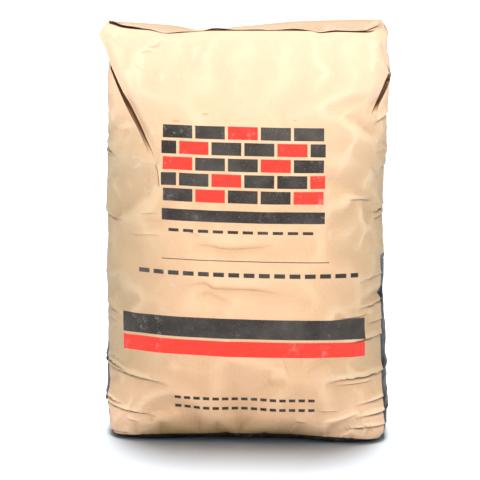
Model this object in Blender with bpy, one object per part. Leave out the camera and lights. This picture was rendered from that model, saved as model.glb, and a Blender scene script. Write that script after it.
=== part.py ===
"""A filled 42.5 kg paper cement sack, standing on its block bottom.

Units are metres and +Z is up. The printed front panel faces -Y. The origin is on the floor, under the middle.
The kraft tube with its two folded ends and the cement in it is one closed solid. The pasted cover strips of
the two ends and the filling valve's sleeve are separate solids.
"""

import math

import bpy
import bmesh
import numpy as np

# Driving dimensions

PASTE_GAP = 0.0004        # between glued layers, so that no two solids touch
PATCH_THICKNESS = 0.0012
SLEEVE_THICKNESS = 0.0020
BASE_Z = 0.0013           # underside of the tube's bottom end, on top of the bottom cover strip

RIM_Z = 0.607             # nominal height of the upper front crease
RIM_BLEND_Z = 0.500       # the creases' own rise and dip fades out down to here
END_DEPTH = 0.100         # block end, front crease to back crease

# (height, half width on the left, half width on the right) of the side walls
WIDTHS = [
    (0.000, 0.2000, 0.2010),
    (0.015, 0.2070, 0.2100),
    (0.045, 0.2105, 0.2120),
    (0.100, 0.2105, 0.2078),
    (0.210, 0.2101, 0.2050),
    (0.350, 0.2085, 0.2010),
    (0.415, 0.2074, 0.2028),
    (0.490, 0.2020, 0.2040),
    (0.535, 0.2005, 0.2075),
    (0.555, 0.1985, 0.2060),
    (0.578, 0.1940, 0.2025),
    (0.607, 0.2000, 0.2045),
]

# (height, front bulge, back bulge, squareness of the section)
DEPTHS = [
    (0.000, 0.0640, 0.0620, 9.0),
    (0.020, 0.0710, 0.0690, 5.0),
    (0.050, 0.0770, 0.0740, 3.2),
    (0.120, 0.0810, 0.0780, 2.5),
    (0.250, 0.0780, 0.0760, 2.4),
    (0.370, 0.0730, 0.0720, 2.4),
    (0.480, 0.0650, 0.0650, 2.8),
    (0.560, 0.0560, 0.0560, 4.5),
    (RIM_Z, END_DEPTH / 2, END_DEPTH / 2, 8.0),
]

# Rounding under the bulge: the middle of a panel rolls under further than its corners
ROLL_MIDDLE = 0.018
ROLL_CORNER = 0.004
ROLL_FADE = (0.30, 0.80)  # shares of the half width between which the one turns into the other

# Upper creases: (distance from the middle, height)
FRONT_CREASE = [
    (-0.207, 0.6035), (-0.198, 0.6150), (-0.187, 0.6180), (-0.150, 0.6110), (-0.104, 0.6040),
    (-0.069, 0.6075), (0.070, 0.6075), (0.179, 0.6115), (0.197, 0.6040),
]
BACK_CREASE = [
    (-0.204, 0.6140), (-0.148, 0.6110), (-0.107, 0.6075), (-0.076, 0.6020),
    (-0.011, 0.6070), (0.078, 0.6150), (0.204, 0.6185),
]
END_SAG = 0.007           # dip of the end between its two creases
LIP = 0.0020              # plies standing up along the front crease
GROOVE_WIDTH = 0.0045     # gap behind them
GROOVE_DEPTH = 0.0060

# Pleats where the flat end meets the round tube. Each line runs from its top to its end, is open by its gap and
# goes in by its depth; the panel dips towards it. The ear is the half width of the flat end above it, and the
# foot is where the panel and the side wall meet on the floor.
PLEATS = {
    "front_left": {
        "ear": 0.2070, "top": (0.1965, 0.550), "end": (0.1250, 0.417), "foot": 0.185,
        "gap": 0.0050, "depth": 0.016, "dip": 0.0050,
    },
    "front_right": {
        "ear": 0.1970, "top": (0.2030, 0.541), "end": (0.1800, 0.480), "foot": 0.188,
        "gap": 0.0045, "depth": 0.014, "dip": 0.0030,
    },
    "back_left": {
        "ear": 0.2040, "top": (0.1960, 0.548), "end": (0.1600, 0.460), "foot": 0.185,
        "gap": 0.0040, "depth": 0.012, "dip": 0.0030,
    },
    "back_right": {
        "ear": 0.2020, "top": (0.2010, 0.545), "end": (0.1650, 0.455), "foot": 0.188,
        "gap": 0.0040, "depth": 0.012, "dip": 0.0030,
    },
}
SHUT_GAP = 0.0080         # width of the strip that stands for a pleat where it is shut
OPENING_SHARE = 0.6       # share of a pleat's line over which it opens fully
EAR_CLOSING = 0.6         # how far it closes again up to its ear
WALL_SETBACK = 1.3        # above a pleat the side wall starts this many gaps behind the panel
FOLD_SLANT = 0.45         # how far a pleat's bottom leans to the middle, for its depth
DIP_REACH = 0.018         # how far from the pleat the panel starts to dip
EAR_EDGE = 0.985          # the panel's edge lies just inside the section's own end
EAR_BLEND = 0.035         # height over which the round tube turns into the flat end, below a pleat's top

# Cover strips and valve
PATCH_OVERHANG = 0.0030   # over the gap behind the front crease
BOTTOM_PATCH_HALF_WIDTH = 0.178
BOTTOM_PATCH_HALF_DEPTH = 0.043
BOTTOM_PATCH_CORNER = 0.008
CORNER_STEPS = 4

# Mesh density: columns run across the front and the back panel, closer together at their edges
OUTLINE_SAMPLES = 400     # points of a section's curve, before its columns are spaced along it
EDGE_SHARES = (0.0, 0.018, 0.042, 0.072)
MIDDLE_COLUMNS = 22
SIDE_COLUMNS = 11
BODY_ROWS = 30
ROLL_ROWS = (0.0, 0.0015, 0.005, 0.010, 0.018, 0.030)
END_ROWS = (0.560, 0.576, 0.592, RIM_Z)

# Where things lie on the top end's grid: rows from front to back, columns from right to left
END_START_ROW = 4         # first row behind the gap
BLEND_COLUMNS = 2         # next to the ears, where the lip and the gap fade out
EAR_COLUMNS = 3           # next to the ears, where the grid follows the side wall's curve
GROOVE_SLOPE = 0.0006     # how far each side of the gap leans
PATCH_LAST_ROW = SIDE_COLUMNS - 1
SLEEVE_ROWS = (6, 9)
SLEEVE_COLUMNS = (1, 6)

SHARP_ANGLE = math.radians(35)

KRAFT = (0.70, 0.49, 0.30, 1.0)
KRAFT_STRIP = (0.72, 0.52, 0.33, 1.0)
SLEEVE_PAPER = (0.62, 0.43, 0.26, 1.0)
DARK_PRINT = (0.025, 0.024, 0.023, 1.0)


# Curves

def smooth(share):
    """A share from 0 to 1, eased at both ends."""
    share = np.clip(share, 0.0, 1.0)
    return share * share * (3 - 2 * share)


def through(stations, column, at):
    """A smooth curve through one column of the stations, read at the given positions, without overshoot."""
    xs = np.array([s[0] for s in stations])
    ys = np.array([s[column] for s in stations])
    steps = np.diff(ys) / np.diff(xs)
    same_way = steps[:-1] * steps[1:] > 0
    inner = np.where(same_way, 2 * steps[:-1] * steps[1:] / np.where(same_way, steps[:-1] + steps[1:], 1), 0)
    slopes = np.concatenate([[steps[0]], inner, [steps[-1]]])
    at = np.clip(at, xs[0], xs[-1])
    k = np.clip(np.searchsorted(xs, at, side="right") - 1, 0, len(xs) - 2)
    width = xs[k + 1] - xs[k]
    t = (at - xs[k]) / width
    return (
        (2 * t**3 - 3 * t**2 + 1) * ys[k]
        + (t**3 - 2 * t**2 + t) * width * slopes[k]
        + (3 * t**2 - 2 * t**3) * ys[k + 1]
        + (t**3 - t**2) * width * slopes[k + 1]
    )


def points_along(points, shares):
    """Points at the given shares of a dense polyline's length."""
    points = np.asarray(points)
    steps = np.linalg.norm(np.diff(points, axis=0), axis=1)
    along = np.concatenate([[0], np.cumsum(steps)])
    at = np.asarray(shares) * along[-1]
    return np.stack([np.interp(at, along, points[:, k]) for k in range(points.shape[1])], axis=1)


def panel_shares():
    """Shares of a panel's width at which its columns lie."""
    middle = np.linspace(EDGE_SHARES[-1], 1 - EDGE_SHARES[-1], MIDDLE_COLUMNS + 1)[1:-1]
    return np.array([*EDGE_SHARES, *middle, *(1 - s for s in EDGE_SHARES[::-1])])


PANEL_SHARES = panel_shares()
PANEL_COLUMNS = len(PANEL_SHARES) - 1


# Section of the sack at one height

def pleat_x(corner, z):
    """Distance of a corner's fold line from the middle, at one height."""
    pleat = PLEATS[corner]
    (top_x, top_z), (end_x, end_z) = pleat["top"], pleat["end"]
    if z >= top_z:
        return top_x + (EAR_EDGE * pleat["ear"] - top_x) * smooth((z - top_z) / (RIM_Z - top_z))
    if z >= end_z:
        return end_x + (top_x - end_x) * (z - end_z) / (top_z - end_z)
    return pleat["foot"] + (end_x - pleat["foot"]) * smooth(z / end_z)


def pleat_openness(corner, z):
    """How far open a corner's pleat is at one height: 0 is shut flat."""
    pleat = PLEATS[corner]
    top_z, end_z = pleat["top"][1], pleat["end"][1]
    opened = smooth((z - end_z) / (OPENING_SHARE * (top_z - end_z)))
    return opened * (1 - EAR_CLOSING * smooth((z - top_z) / (RIM_Z - top_z)))


def superellipse(x, half, depth, power):
    """Distance from the middle plane of a superellipse's point at x."""
    return depth * np.clip(1 - (np.abs(x) / half) ** power, 0, 1) ** (1 / power)


class Section:
    """The sack's outline at one height, as quarters of superellipses."""

    def __init__(self, z):
        self.z = z
        self.depth = {"front": through(DEPTHS, 1, z), "back": through(DEPTHS, 2, z)}
        self.power = through(DEPTHS, 3, z)
        self.wall = {"left": through(WIDTHS, 1, z), "right": through(WIDTHS, 2, z)}

    def panel_width(self, face, side):
        """Half width that a panel's curve runs to: the wall's, or above a pleat the flat end's own."""
        corner = f"{face}_{side}"
        edge = pleat_x(corner, self.z) / EAR_EDGE
        flat = smooth((self.z - PLEATS[corner]["top"][1]) / EAR_BLEND + 1)
        return max(edge, self.wall[side]) * (1 - flat) + edge * flat

    def panel(self, face):
        """Points across the front or back panel, from the right fold line to the left one."""
        edges = {s: pleat_x(f"{face}_{s}", self.z) for s in ("right", "left")}
        widths = {s: self.panel_width(face, s) for s in ("right", "left")}
        x = np.linspace(edges["right"], -edges["left"], OUTLINE_SAMPLES)
        y = superellipse(x, np.where(x > 0, widths["right"], widths["left"]), self.depth[face], self.power)
        for side, sign in (("right", 1), ("left", -1)):
            corner = f"{face}_{side}"
            near = smooth(1 - (edges[side] - sign * x) / DIP_REACH)
            y = y - PLEATS[corner]["dip"] * pleat_openness(corner, self.z) * near**2
        return points_along(np.stack([x, -y if face == "front" else y], axis=1), PANEL_SHARES)

    def wall_start(self, face, side):
        """Angle at which a side wall starts, next to the pleat between it and the front or back panel."""
        corner = f"{face}_{side}"
        pleat, depth, width = PLEATS[corner], self.depth[face], self.wall[side]
        x = pleat_x(corner, self.z)
        opened = pleat_openness(corner, self.z)
        gap = SHUT_GAP + (pleat["gap"] - SHUT_GAP) * opened
        by_x = math.acos(min((x + gap) / width, 1.0) ** (self.power / 2))
        y = superellipse(x, self.panel_width(face, side), depth, self.power)
        by_y = math.asin(min(max(y - WALL_SETBACK * gap, 0) / depth, 1.0) ** (self.power / 2))
        above = smooth((self.z - pleat["top"][1]) / EAR_BLEND + 1)
        return by_x + (by_y - by_x) * above

    def side(self, side):
        """Points round one side wall, from the front pleat to the back one."""
        width, power = self.wall[side], self.power
        turn = np.linspace(self.wall_start("front", side), -self.wall_start("back", side), OUTLINE_SAMPLES)
        x = width * np.cos(turn) ** (2 / power)
        depth = np.where(turn > 0, -self.depth["front"], self.depth["back"])
        y = depth * np.abs(np.sin(turn)) ** (2 / power)
        shares = np.linspace(0, 1, SIDE_COLUMNS - 1)
        return points_along(np.stack([x if side == "right" else -x, y], axis=1), shares)

    def fold(self, corner, edge, start):
        """The bottom of a corner's pleat, between the panel's edge and the side wall's first point."""
        face, side = corner.split("_")
        inward = np.array([-FOLD_SLANT if side == "right" else FOLD_SLANT, 1.0 if face == "front" else -1.0])
        return (edge + start) / 2 + PLEATS[corner]["depth"] * pleat_openness(corner, self.z) * inward

    def ring(self):
        """All points round the section: front right to left, left side, back left to right, right side."""
        front = self.panel("front")
        back = self.panel("back")[::-1]
        left = self.side("left")
        right = self.side("right")[::-1]
        return np.concatenate([
            front, [self.fold("front_left", front[-1], left[0])],
            left, [self.fold("back_left", back[0], left[-1])],
            back, [self.fold("back_right", back[-1], right[0])],
            right, [self.fold("front_right", front[0], right[-1])],
        ])


# Heights: the rolled foot and the uneven upper creases

def roll_under(points, z):
    """Pulls a ring in towards the middle near the floor, further in the middle of a panel than at its corners."""
    half = np.abs(points).max(axis=0)
    corner_share = smooth((np.abs(points[:, 0]) / half[0] - ROLL_FADE[0]) / (ROLL_FADE[1] - ROLL_FADE[0]))
    radius = ROLL_MIDDLE + (ROLL_CORNER - ROLL_MIDDLE) * corner_share
    below = np.clip(radius - z, 0, None)
    inset = radius - np.sqrt(radius**2 - below**2)
    return points * (1 - inset[:, None] / half[None, :])


def crease_height(x, y):
    """Height of the upper creases over a point of the end: the front's at the front, the back's at the back."""
    back_share = np.clip(y / END_DEPTH + 0.5, 0, 1)
    return through(FRONT_CREASE, 1, x) * (1 - back_share) + through(BACK_CREASE, 1, x) * back_share


def ring_at(z):
    """One ring of the tube in space."""
    points = roll_under(Section(z).ring(), z)
    x, y = points[:, 0], points[:, 1]
    lift = smooth((z - RIM_BLEND_Z) / (RIM_Z - RIM_BLEND_Z)) * (crease_height(x, y) - RIM_Z)
    return np.stack([x, y, BASE_Z + z + lift], axis=1)


def row_heights():
    """Heights of all rings, close together at the foot and under the upper creases."""
    body = np.linspace(ROLL_ROWS[-1], END_ROWS[0], BODY_ROWS + 1)[1:-1]
    return [*ROLL_ROWS, *body, *END_ROWS]


# The two ends

def ring_sides():
    """A ring's four runs, with front and back both from right to left, and both sides from front to back."""
    panel, side = PANEL_COLUMNS + 1, SIDE_COLUMNS - 1
    front = list(range(panel))
    left = list(range(panel + 1, panel + 1 + side))
    back = list(range(panel + side + 2, 2 * panel + side + 2))
    right = list(range(2 * panel + side + 3, 2 * panel + 2 * side + 3))
    return front, left, back[::-1], right[::-1]


def end_net(ring):
    """A grid over an end, as points [row from front to back][column from right to left], before its own relief."""
    front, left, back, right = ring_sides()
    net = np.zeros((SIDE_COLUMNS + 1, PANEL_COLUMNS + 1, 3))
    net[0], net[-1] = ring[front], ring[back]
    net[1:-1, -1], net[1:-1, 0] = ring[left], ring[right]
    for row in range(1, SIDE_COLUMNS):
        shares = [
            np.clip((net[row, c, 1] - net[0, c, 1]) / (net[-1, c, 1] - net[0, c, 1]), 0, 1) for c in (0, -1)
        ]
        for column in range(1, PANEL_COLUMNS):
            share = row / SIDE_COLUMNS
            pull_right = smooth(1 - column / EAR_COLUMNS)
            pull_left = smooth(1 - (PANEL_COLUMNS - column) / EAR_COLUMNS)
            share += pull_right * (shares[0] - share) + pull_left * (shares[1] - share)
            point = net[0, column] * (1 - share) + net[-1, column] * share
            for end, pull in ((0, pull_right), (-1, pull_left)):
                straight = net[0, end] * (1 - share) + net[-1, end] * share
                point = point + pull * (net[row, end] - straight)
            net[row, column] = point
    return net


def end_point(front, back, share):
    """A point on the sagging top end, from the edge of the gap behind the front crease to the back crease."""
    start = front + np.array([0.0, LIP + GROOVE_WIDTH, 0.0])
    point = start * (1 - share) + back * share
    point[2] -= END_SAG * 4 * share * (1 - share)
    return point


def top_net(ring):
    """The top end's grid: a standing lip, the gap behind it, and the sagging end up to the back crease."""
    net = end_net(ring)
    for column in range(1, PANEL_COLUMNS):
        inward = smooth(min(column, PANEL_COLUMNS - column) / BLEND_COLUMNS)
        front, back = net[0, column].copy(), net[-1, column].copy()
        low_front, low_back = LIP + GROOVE_SLOPE, LIP + GROOVE_WIDTH - GROOVE_SLOPE
        gap = [(LIP, 0.0), (low_front, -GROOVE_DEPTH), (low_back, -GROOVE_DEPTH)]
        for row, (offset, drop) in enumerate(gap, start=1):
            own = front + np.array([0.0, offset, drop])
            net[row, column] += inward * (own - net[row, column])
        for row in range(END_START_ROW, SIDE_COLUMNS):
            own = end_point(front, back, (row - END_START_ROW) / (SIDE_COLUMNS - END_START_ROW))
            net[row, column] += inward * (own - net[row, column])
    return net


# Mesh building

def mesh_object(name, vertices, faces, material):
    """An object from points and faces, shaded smooth but for its creases."""
    mesh = bpy.data.meshes.new(name)
    mesh.from_pydata([tuple(float(c) for c in v) for v in vertices], [], [tuple(f) for f in faces])
    mesh.validate()
    body = bmesh.new()
    body.from_mesh(mesh)
    bmesh.ops.remove_doubles(body, verts=body.verts, dist=1e-6)
    bmesh.ops.triangulate(body, faces=body.faces, quad_method="FIXED")
    bmesh.ops.recalc_face_normals(body, faces=body.faces)
    if body.calc_volume(signed=True) < 0:
        bmesh.ops.reverse_faces(body, faces=body.faces)
    body.to_mesh(mesh)
    body.free()
    mesh.shade_smooth()
    mesh.set_sharp_from_angle(angle=SHARP_ANGLE)
    mesh.materials.append(material)
    made = bpy.data.objects.new(name, mesh)
    bpy.context.collection.objects.link(made)
    return made


def paint(name, colour, roughness):
    """A Principled material with the sub-part's colour."""
    material = bpy.data.materials.new(name)
    material.use_nodes = True
    shader = material.node_tree.nodes["Principled BSDF"]
    shader.inputs["Base Color"].default_value = colour
    shader.inputs["Roughness"].default_value = roughness
    shader.inputs["Metallic"].default_value = 0.0
    return material


def close_end(faces, vertices, net, ring_offset, corner_folds):
    """Adds an end's inner points and its faces to the tube, joined to the ring that starts at ring_offset."""
    front, left, back, right = ring_sides()
    index = np.zeros(net.shape[:2], int)
    index[0], index[-1] = front, back
    index[1:-1, -1], index[1:-1, 0] = left, right
    index += ring_offset
    for row in range(1, SIDE_COLUMNS):
        for column in range(1, PANEL_COLUMNS):
            index[row, column] = len(vertices)
            vertices.append(net[row, column])
    last_row, last_column = SIDE_COLUMNS - 1, PANEL_COLUMNS - 1
    corners = {(0, 0): "front_right", (0, last_column): "front_left",
               (last_row, 0): "back_right", (last_row, last_column): "back_left"}
    for row in range(SIDE_COLUMNS):
        for column in range(PANEL_COLUMNS):
            a, b = index[row, column], index[row, column + 1]
            c, d = index[row + 1, column + 1], index[row + 1, column]
            fold = corner_folds.get(corners.get((row, column)))
            if fold is None:
                faces.append((a, b, c, d))
                continue
            fold += ring_offset
            around = {"front_right": (a, b, c, d, fold), "front_left": (a, b, fold, c, d),
                      "back_right": (a, b, c, d, fold), "back_left": (a, b, fold, c, d)}
            faces.append(around[corners[(row, column)]])


def make_sack():
    """The filled tube with both folded ends, as one closed solid."""
    rings = [ring_at(z) for z in row_heights()]
    size = len(rings[0])
    vertices = [p for ring in rings for p in ring]
    faces = []
    for row in range(len(rings) - 1):
        for k in range(size):
            a, b = row * size + k, row * size + (k + 1) % size
            faces.append((a, b, b + size, a + size))
    panel, side = PANEL_COLUMNS + 1, SIDE_COLUMNS - 1
    folds = {"front_left": panel, "back_left": panel + side + 1,
             "back_right": 2 * panel + side + 2, "front_right": size - 1}
    close_end(faces, vertices, end_net(rings[0]), 0, folds)
    top = top_net(rings[-1])
    close_end(faces, vertices, top, (len(rings) - 1) * size, folds)
    return mesh_object("sack", vertices, faces, paint("kraft_print", KRAFT, 0.75)), top


def sheet_between(name, low, high, material):
    """A closed sheet from two grids of points, one under the other."""
    rows, columns = low.shape[:2]
    vertices = [*low.reshape(-1, 3), *high.reshape(-1, 3)]
    count = rows * columns
    faces = []
    for r in range(rows - 1):
        for c in range(columns - 1):
            a, b = r * columns + c, r * columns + c + 1
            faces.append((a, b, b + columns, a + columns))
            faces.append((a + count, a + columns + count, b + columns + count, b + count))
    edge = list(range(columns))
    edge += [r * columns + columns - 1 for r in range(1, rows)]
    edge += [(rows - 1) * columns + c for c in range(columns - 2, -1, -1)]
    edge += [r * columns for r in range(rows - 2, 0, -1)]
    for a, b in zip(edge, edge[1:] + edge[:1]):
        faces.append((a, b, b + count, a + count))
    return mesh_object(name, vertices, faces, material)


def raised(net, rows, columns, rise):
    """The points of a block of the end's grid, each lifted by its own rise."""
    block = net[rows[0]:rows[1] + 1, columns[0]:columns[1] + 1].copy()
    for r, c in np.ndindex(block.shape[:2]):
        block[r, c, 2] += rise(rows[0] + r, columns[0] + c)
    return block


def strip_rise(row, column):
    """How far the top cover strip's underside lies over the end: it is lifted by the valve's sleeve."""
    over_sleeve = SLEEVE_ROWS[0] <= row <= SLEEVE_ROWS[1] and column <= SLEEVE_COLUMNS[1]
    return 2 * PASTE_GAP + SLEEVE_THICKNESS if over_sleeve else PASTE_GAP


def make_top_patch(net):
    """The cover strip pasted over the top end's folded flaps, its front edge over the gap behind the lip."""
    rows, columns = (END_START_ROW, PATCH_LAST_ROW), (BLEND_COLUMNS, PANEL_COLUMNS - BLEND_COLUMNS)
    low = raised(net, rows, columns, strip_rise)
    edge = low[:1] - np.array([0.0, PATCH_OVERHANG, 0.0])
    low = np.concatenate([edge, low])
    high = low + np.array([0.0, 0.0, PATCH_THICKNESS])
    return sheet_between("top_patch", low, high, paint("kraft_strip", KRAFT_STRIP, 0.8))


def make_valve_sleeve(net):
    """The flattened paper sleeve of the filling valve, its mouth just past the top strip's end."""
    low = raised(net, SLEEVE_ROWS, SLEEVE_COLUMNS, lambda row, column: PASTE_GAP)
    high = low + np.array([0.0, 0.0, SLEEVE_THICKNESS])
    return sheet_between("valve_sleeve", low, high, paint("sleeve_paper", SLEEVE_PAPER, 0.85))


def make_bottom_patch():
    """The dark cover strip pasted under the bottom end, which the sack stands on."""
    corner = BOTTOM_PATCH_CORNER
    outline = []
    for side_x, side_y, start in ((1, -1, -90), (1, 1, 0), (-1, 1, 90), (-1, -1, 180)):
        centre_x = side_x * (BOTTOM_PATCH_HALF_WIDTH - corner)
        centre_y = side_y * (BOTTOM_PATCH_HALF_DEPTH - corner)
        for step in range(CORNER_STEPS + 1):
            turn = math.radians(start + step * 90 / CORNER_STEPS)
            outline.append((centre_x + corner * math.cos(turn), centre_y + corner * math.sin(turn)))
    thickness = BASE_Z - PASTE_GAP
    count = len(outline)
    vertices = [(x, y, 0.0) for x, y in outline] + [(x, y, thickness) for x, y in outline]
    faces = [tuple(range(count))[::-1], tuple(range(count, 2 * count))]
    faces += [(k, (k + 1) % count, (k + 1) % count + count, k + count) for k in range(count)]
    return mesh_object("bottom_patch", vertices, faces, paint("dark_print", DARK_PRINT, 0.6))


def centre_over_origin(objects):
    """Moves all pieces so that the whole stands over the origin."""
    corners = np.array([v.co for o in objects for v in o.data.vertices])
    middle = (corners.min(axis=0) + corners.max(axis=0)) / 2
    for o in objects:
        o.location.x -= middle[0]
        o.location.y -= middle[1]


def main():
    for old in list(bpy.data.objects):
        bpy.data.objects.remove(old, do_unlink=True)
    sack, top = make_sack()
    centre_over_origin([sack, make_top_patch(top), make_valve_sleeve(top), make_bottom_patch()])


main()
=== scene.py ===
"""A filled paper cement sack on its block bottom: paper skin, end strip, valve, floor, lights and camera.

Units are metres and +Z is up. The printed front panel faces -Y.
The origin is on the floor under the sack's middle.
"""

import math

import bmesh
import bpy
import numpy as np
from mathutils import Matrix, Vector, geometry


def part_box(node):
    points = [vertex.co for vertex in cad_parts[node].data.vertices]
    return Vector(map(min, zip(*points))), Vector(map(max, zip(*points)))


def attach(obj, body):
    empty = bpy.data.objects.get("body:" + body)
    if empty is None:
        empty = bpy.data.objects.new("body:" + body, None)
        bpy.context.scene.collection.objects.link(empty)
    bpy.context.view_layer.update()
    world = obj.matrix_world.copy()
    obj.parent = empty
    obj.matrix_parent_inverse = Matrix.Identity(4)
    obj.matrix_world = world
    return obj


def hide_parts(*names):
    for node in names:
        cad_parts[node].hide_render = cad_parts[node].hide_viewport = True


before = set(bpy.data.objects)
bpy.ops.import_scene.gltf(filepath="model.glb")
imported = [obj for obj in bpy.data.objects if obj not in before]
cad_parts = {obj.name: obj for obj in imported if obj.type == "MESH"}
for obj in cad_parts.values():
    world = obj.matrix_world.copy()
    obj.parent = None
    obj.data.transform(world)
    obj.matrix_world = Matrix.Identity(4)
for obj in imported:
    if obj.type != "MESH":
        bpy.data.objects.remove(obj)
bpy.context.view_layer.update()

# Driving dimensions of the tube, as its solid has them

BASE_Z = 0.0013
RIM_Z = 0.607
RIM_BLEND_Z = 0.500
END_DEPTH = 0.100

# (height, half width on the left, half width on the right) of the side walls
WIDTHS = [
    (0.000, 0.2000, 0.2010),
    (0.015, 0.2070, 0.2100),
    (0.045, 0.2125, 0.2130),
    (0.100, 0.2135, 0.2092),
    (0.210, 0.2101, 0.2050),
    (0.350, 0.2085, 0.2010),
    (0.415, 0.2074, 0.2028),
    (0.490, 0.2045, 0.2035),
    (0.535, 0.2030, 0.2070),
    (0.555, 0.2005, 0.2060),
    (0.578, 0.1940, 0.2020),
    (0.590, 0.1955, 0.2015),
    (0.597, 0.1975, 0.2032),
    (0.607, 0.2000, 0.1965),
]

# (height, front bulge, back bulge, squareness of the section)
DEPTHS = [
    (0.000, 0.0640, 0.0620, 9.0),
    (0.020, 0.0710, 0.0690, 5.0),
    (0.050, 0.0770, 0.0740, 3.2),
    (0.120, 0.0810, 0.0780, 2.5),
    (0.250, 0.0780, 0.0760, 2.4),
    (0.370, 0.0730, 0.0720, 2.4),
    (0.480, 0.0650, 0.0650, 2.8),
    (0.560, 0.0560, 0.0560, 4.5),
    (RIM_Z, END_DEPTH / 2, END_DEPTH / 2, 8.0),
]
ROLL_MIDDLE = 0.018
ROLL_CORNER = 0.004
ROLL_FADE = (0.30, 0.80)

# Upper creases: (distance from the middle, height)
FRONT_CREASE = [
    (-0.2110, 0.5985), (-0.1990, 0.6145), (-0.1930, 0.6150), (-0.1750, 0.6102), (-0.1540, 0.6078),
    (-0.1370, 0.6066), (-0.1110, 0.6020), (-0.0830, 0.6038), (-0.0450, 0.6062), (0.0630, 0.6066),
    (0.0930, 0.6062), (0.1045, 0.6035), (0.1310, 0.6052), (0.1730, 0.6042), (0.1860, 0.6085),
]
BACK_CREASE = [
    (-0.204, 0.6140), (-0.148, 0.6110), (-0.107, 0.6075), (-0.076, 0.6020),
    (-0.011, 0.6070), (0.078, 0.6150), (0.204, 0.6185),
]
END_SAG = 0.007
LIP = 0.0020
GROOVE_DEPTH = 0.0060
SLIT_THIN = 0.0030        # where the slit is wider than this, its far side stands higher than the lip
SLIT_RISE = 0.32          # by this share of the difference
SLIT_SHADE = 2.0          # how dark the slit is inside; an open pleat is 1
SLIT_END = 0.024          # share of the end's width that it leaves shut at its two ends

# The slit behind the front's lip: (distance from the middle, width)
SLIT = [
    (-0.200, 0.0115), (-0.165, 0.0100), (-0.140, 0.0035), (-0.060, 0.0030), (-0.045, 0.0075),
    (-0.010, 0.0045), (0.030, 0.0035), (0.075, 0.0060), (0.100, 0.0030), (0.130, 0.0055), (0.175, 0.0065),
]

# Pleats where the flat end meets the round tube: a line from its top to its end, open by its gap, which is
# widest at one height and closes by a share over some height above its top
PLEATS = {
    "front_left": {
        "ear": 0.2135, "top": (0.1950, 0.557), "end": (0.1250, 0.417), "foot": 0.185,
        "gap": 0.0062, "depth": 0.013, "dip": 0.0060, "widest": 0.498, "closing": (0.60, 0.050),
    },
    "front_right": {
        "ear": 0.1890, "top": (0.2035, 0.547), "end": (0.1765, 0.4825), "foot": 0.188,
        "gap": 0.0092, "depth": 0.012, "dip": 0.0078, "widest": 0.540, "closing": (1.00, 0.016),
    },
    "back_left": {
        "ear": 0.2040, "top": (0.1960, 0.548), "end": (0.1600, 0.460), "foot": 0.185,
        "gap": 0.0046, "depth": 0.012, "dip": 0.0030, "widest": 0.520, "closing": (0.60, 0.059),
    },
    "back_right": {
        "ear": 0.1990, "top": (0.2010, 0.545), "end": (0.1650, 0.455), "foot": 0.188,
        "gap": 0.0046, "depth": 0.012, "dip": 0.0030, "widest": 0.520, "closing": (1.00, 0.040),
    },
}
SHUT_GAP = 0.0080
GAP_REACH = 0.070         # an open pleat narrows over this height, up and down from its widest place
GAP_NARROWING = 0.42
DIP_REACH = 0.018
EAR_EDGE = 0.985
EAR_BLEND = 0.007
EAR_BOW = 1.25            # how much steeper an ear's edge starts than it ends
EAR_POWER = 9.0           # extra squareness of the front and the back below their ears
EAR_POWER_FROM = (0.50, 0.08)        # height where it starts, and over how much height it grows
PLEAT_FLOOR = 0.0100      # width of an open pleat's floor
PLEAT_OPENING = 0.40      # share of a pleat's length over which it opens fully
EAR_SHARE = 0.042         # share of the end's width over which the lip fades out at its ears

# Mesh density
PANEL_COLUMNS = 140
EDGE_CROWDING = 0.35      # columns stand closer together at a panel's edges
SIDE_POINTS = 45
FOLD_POINTS = 3
CURVE_POINTS = 600        # points of a section's curve, before it is read at the columns
FOOT_HEIGHTS = (0.0, 0.0008, 0.002, 0.004, 0.0065, 0.0095, 0.013, 0.017, 0.0212, 0.0255)
ROW_STEPS = ((0.130, 0.0022), (0.450, 0.0029), (0.594, 0.0026))   # (up to this height, this far apart)
RIM_HEIGHTS = (0.5968, 0.5992, 0.6014, 0.6034, 0.6050, 0.6062, RIM_Z)

# Where each stretch of columns starts, in the order in which they go round, from the front's right edge
PANEL_POINTS = PANEL_COLUMNS + 1
LEFT_START = PANEL_POINTS + FOLD_POINTS
BACK_START = LEFT_START + SIDE_POINTS + FOLD_POINTS
RIGHT_START = BACK_START + PANEL_POINTS + FOLD_POINTS
FOLD_STARTS = {
    "front_left": PANEL_POINTS,
    "back_left": LEFT_START + SIDE_POINTS,
    "back_right": BACK_START + PANEL_POINTS,
    "front_right": RIGHT_START + SIDE_POINTS,
}


# Curves

def smooth(share):
    """A share from 0 to 1, eased at both ends."""
    share = np.clip(share, 0.0, 1.0)
    return share * share * (3 - 2 * share)


def through(stations, column, at):
    """A smooth curve through one column of the stations, read at the given positions, without overshoot."""
    xs = np.array([s[0] for s in stations])
    ys = np.array([s[column] for s in stations])
    steps = np.diff(ys) / np.diff(xs)
    same_way = steps[:-1] * steps[1:] > 0
    inner = np.where(same_way, 2 * steps[:-1] * steps[1:] / np.where(same_way, steps[:-1] + steps[1:], 1), 0)
    slopes = np.concatenate([[steps[0]], inner, [steps[-1]]])
    at = np.clip(at, xs[0], xs[-1])
    k = np.clip(np.searchsorted(xs, at, side="right") - 1, 0, len(xs) - 2)
    width = xs[k + 1] - xs[k]
    t = (at - xs[k]) / width
    return (
        (2 * t**3 - 3 * t**2 + 1) * ys[k]
        + (t**3 - 2 * t**2 + t) * width * slopes[k]
        + (3 * t**2 - 2 * t**3) * ys[k + 1]
        + (t**3 - t**2) * width * slopes[k + 1]
    )


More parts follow.
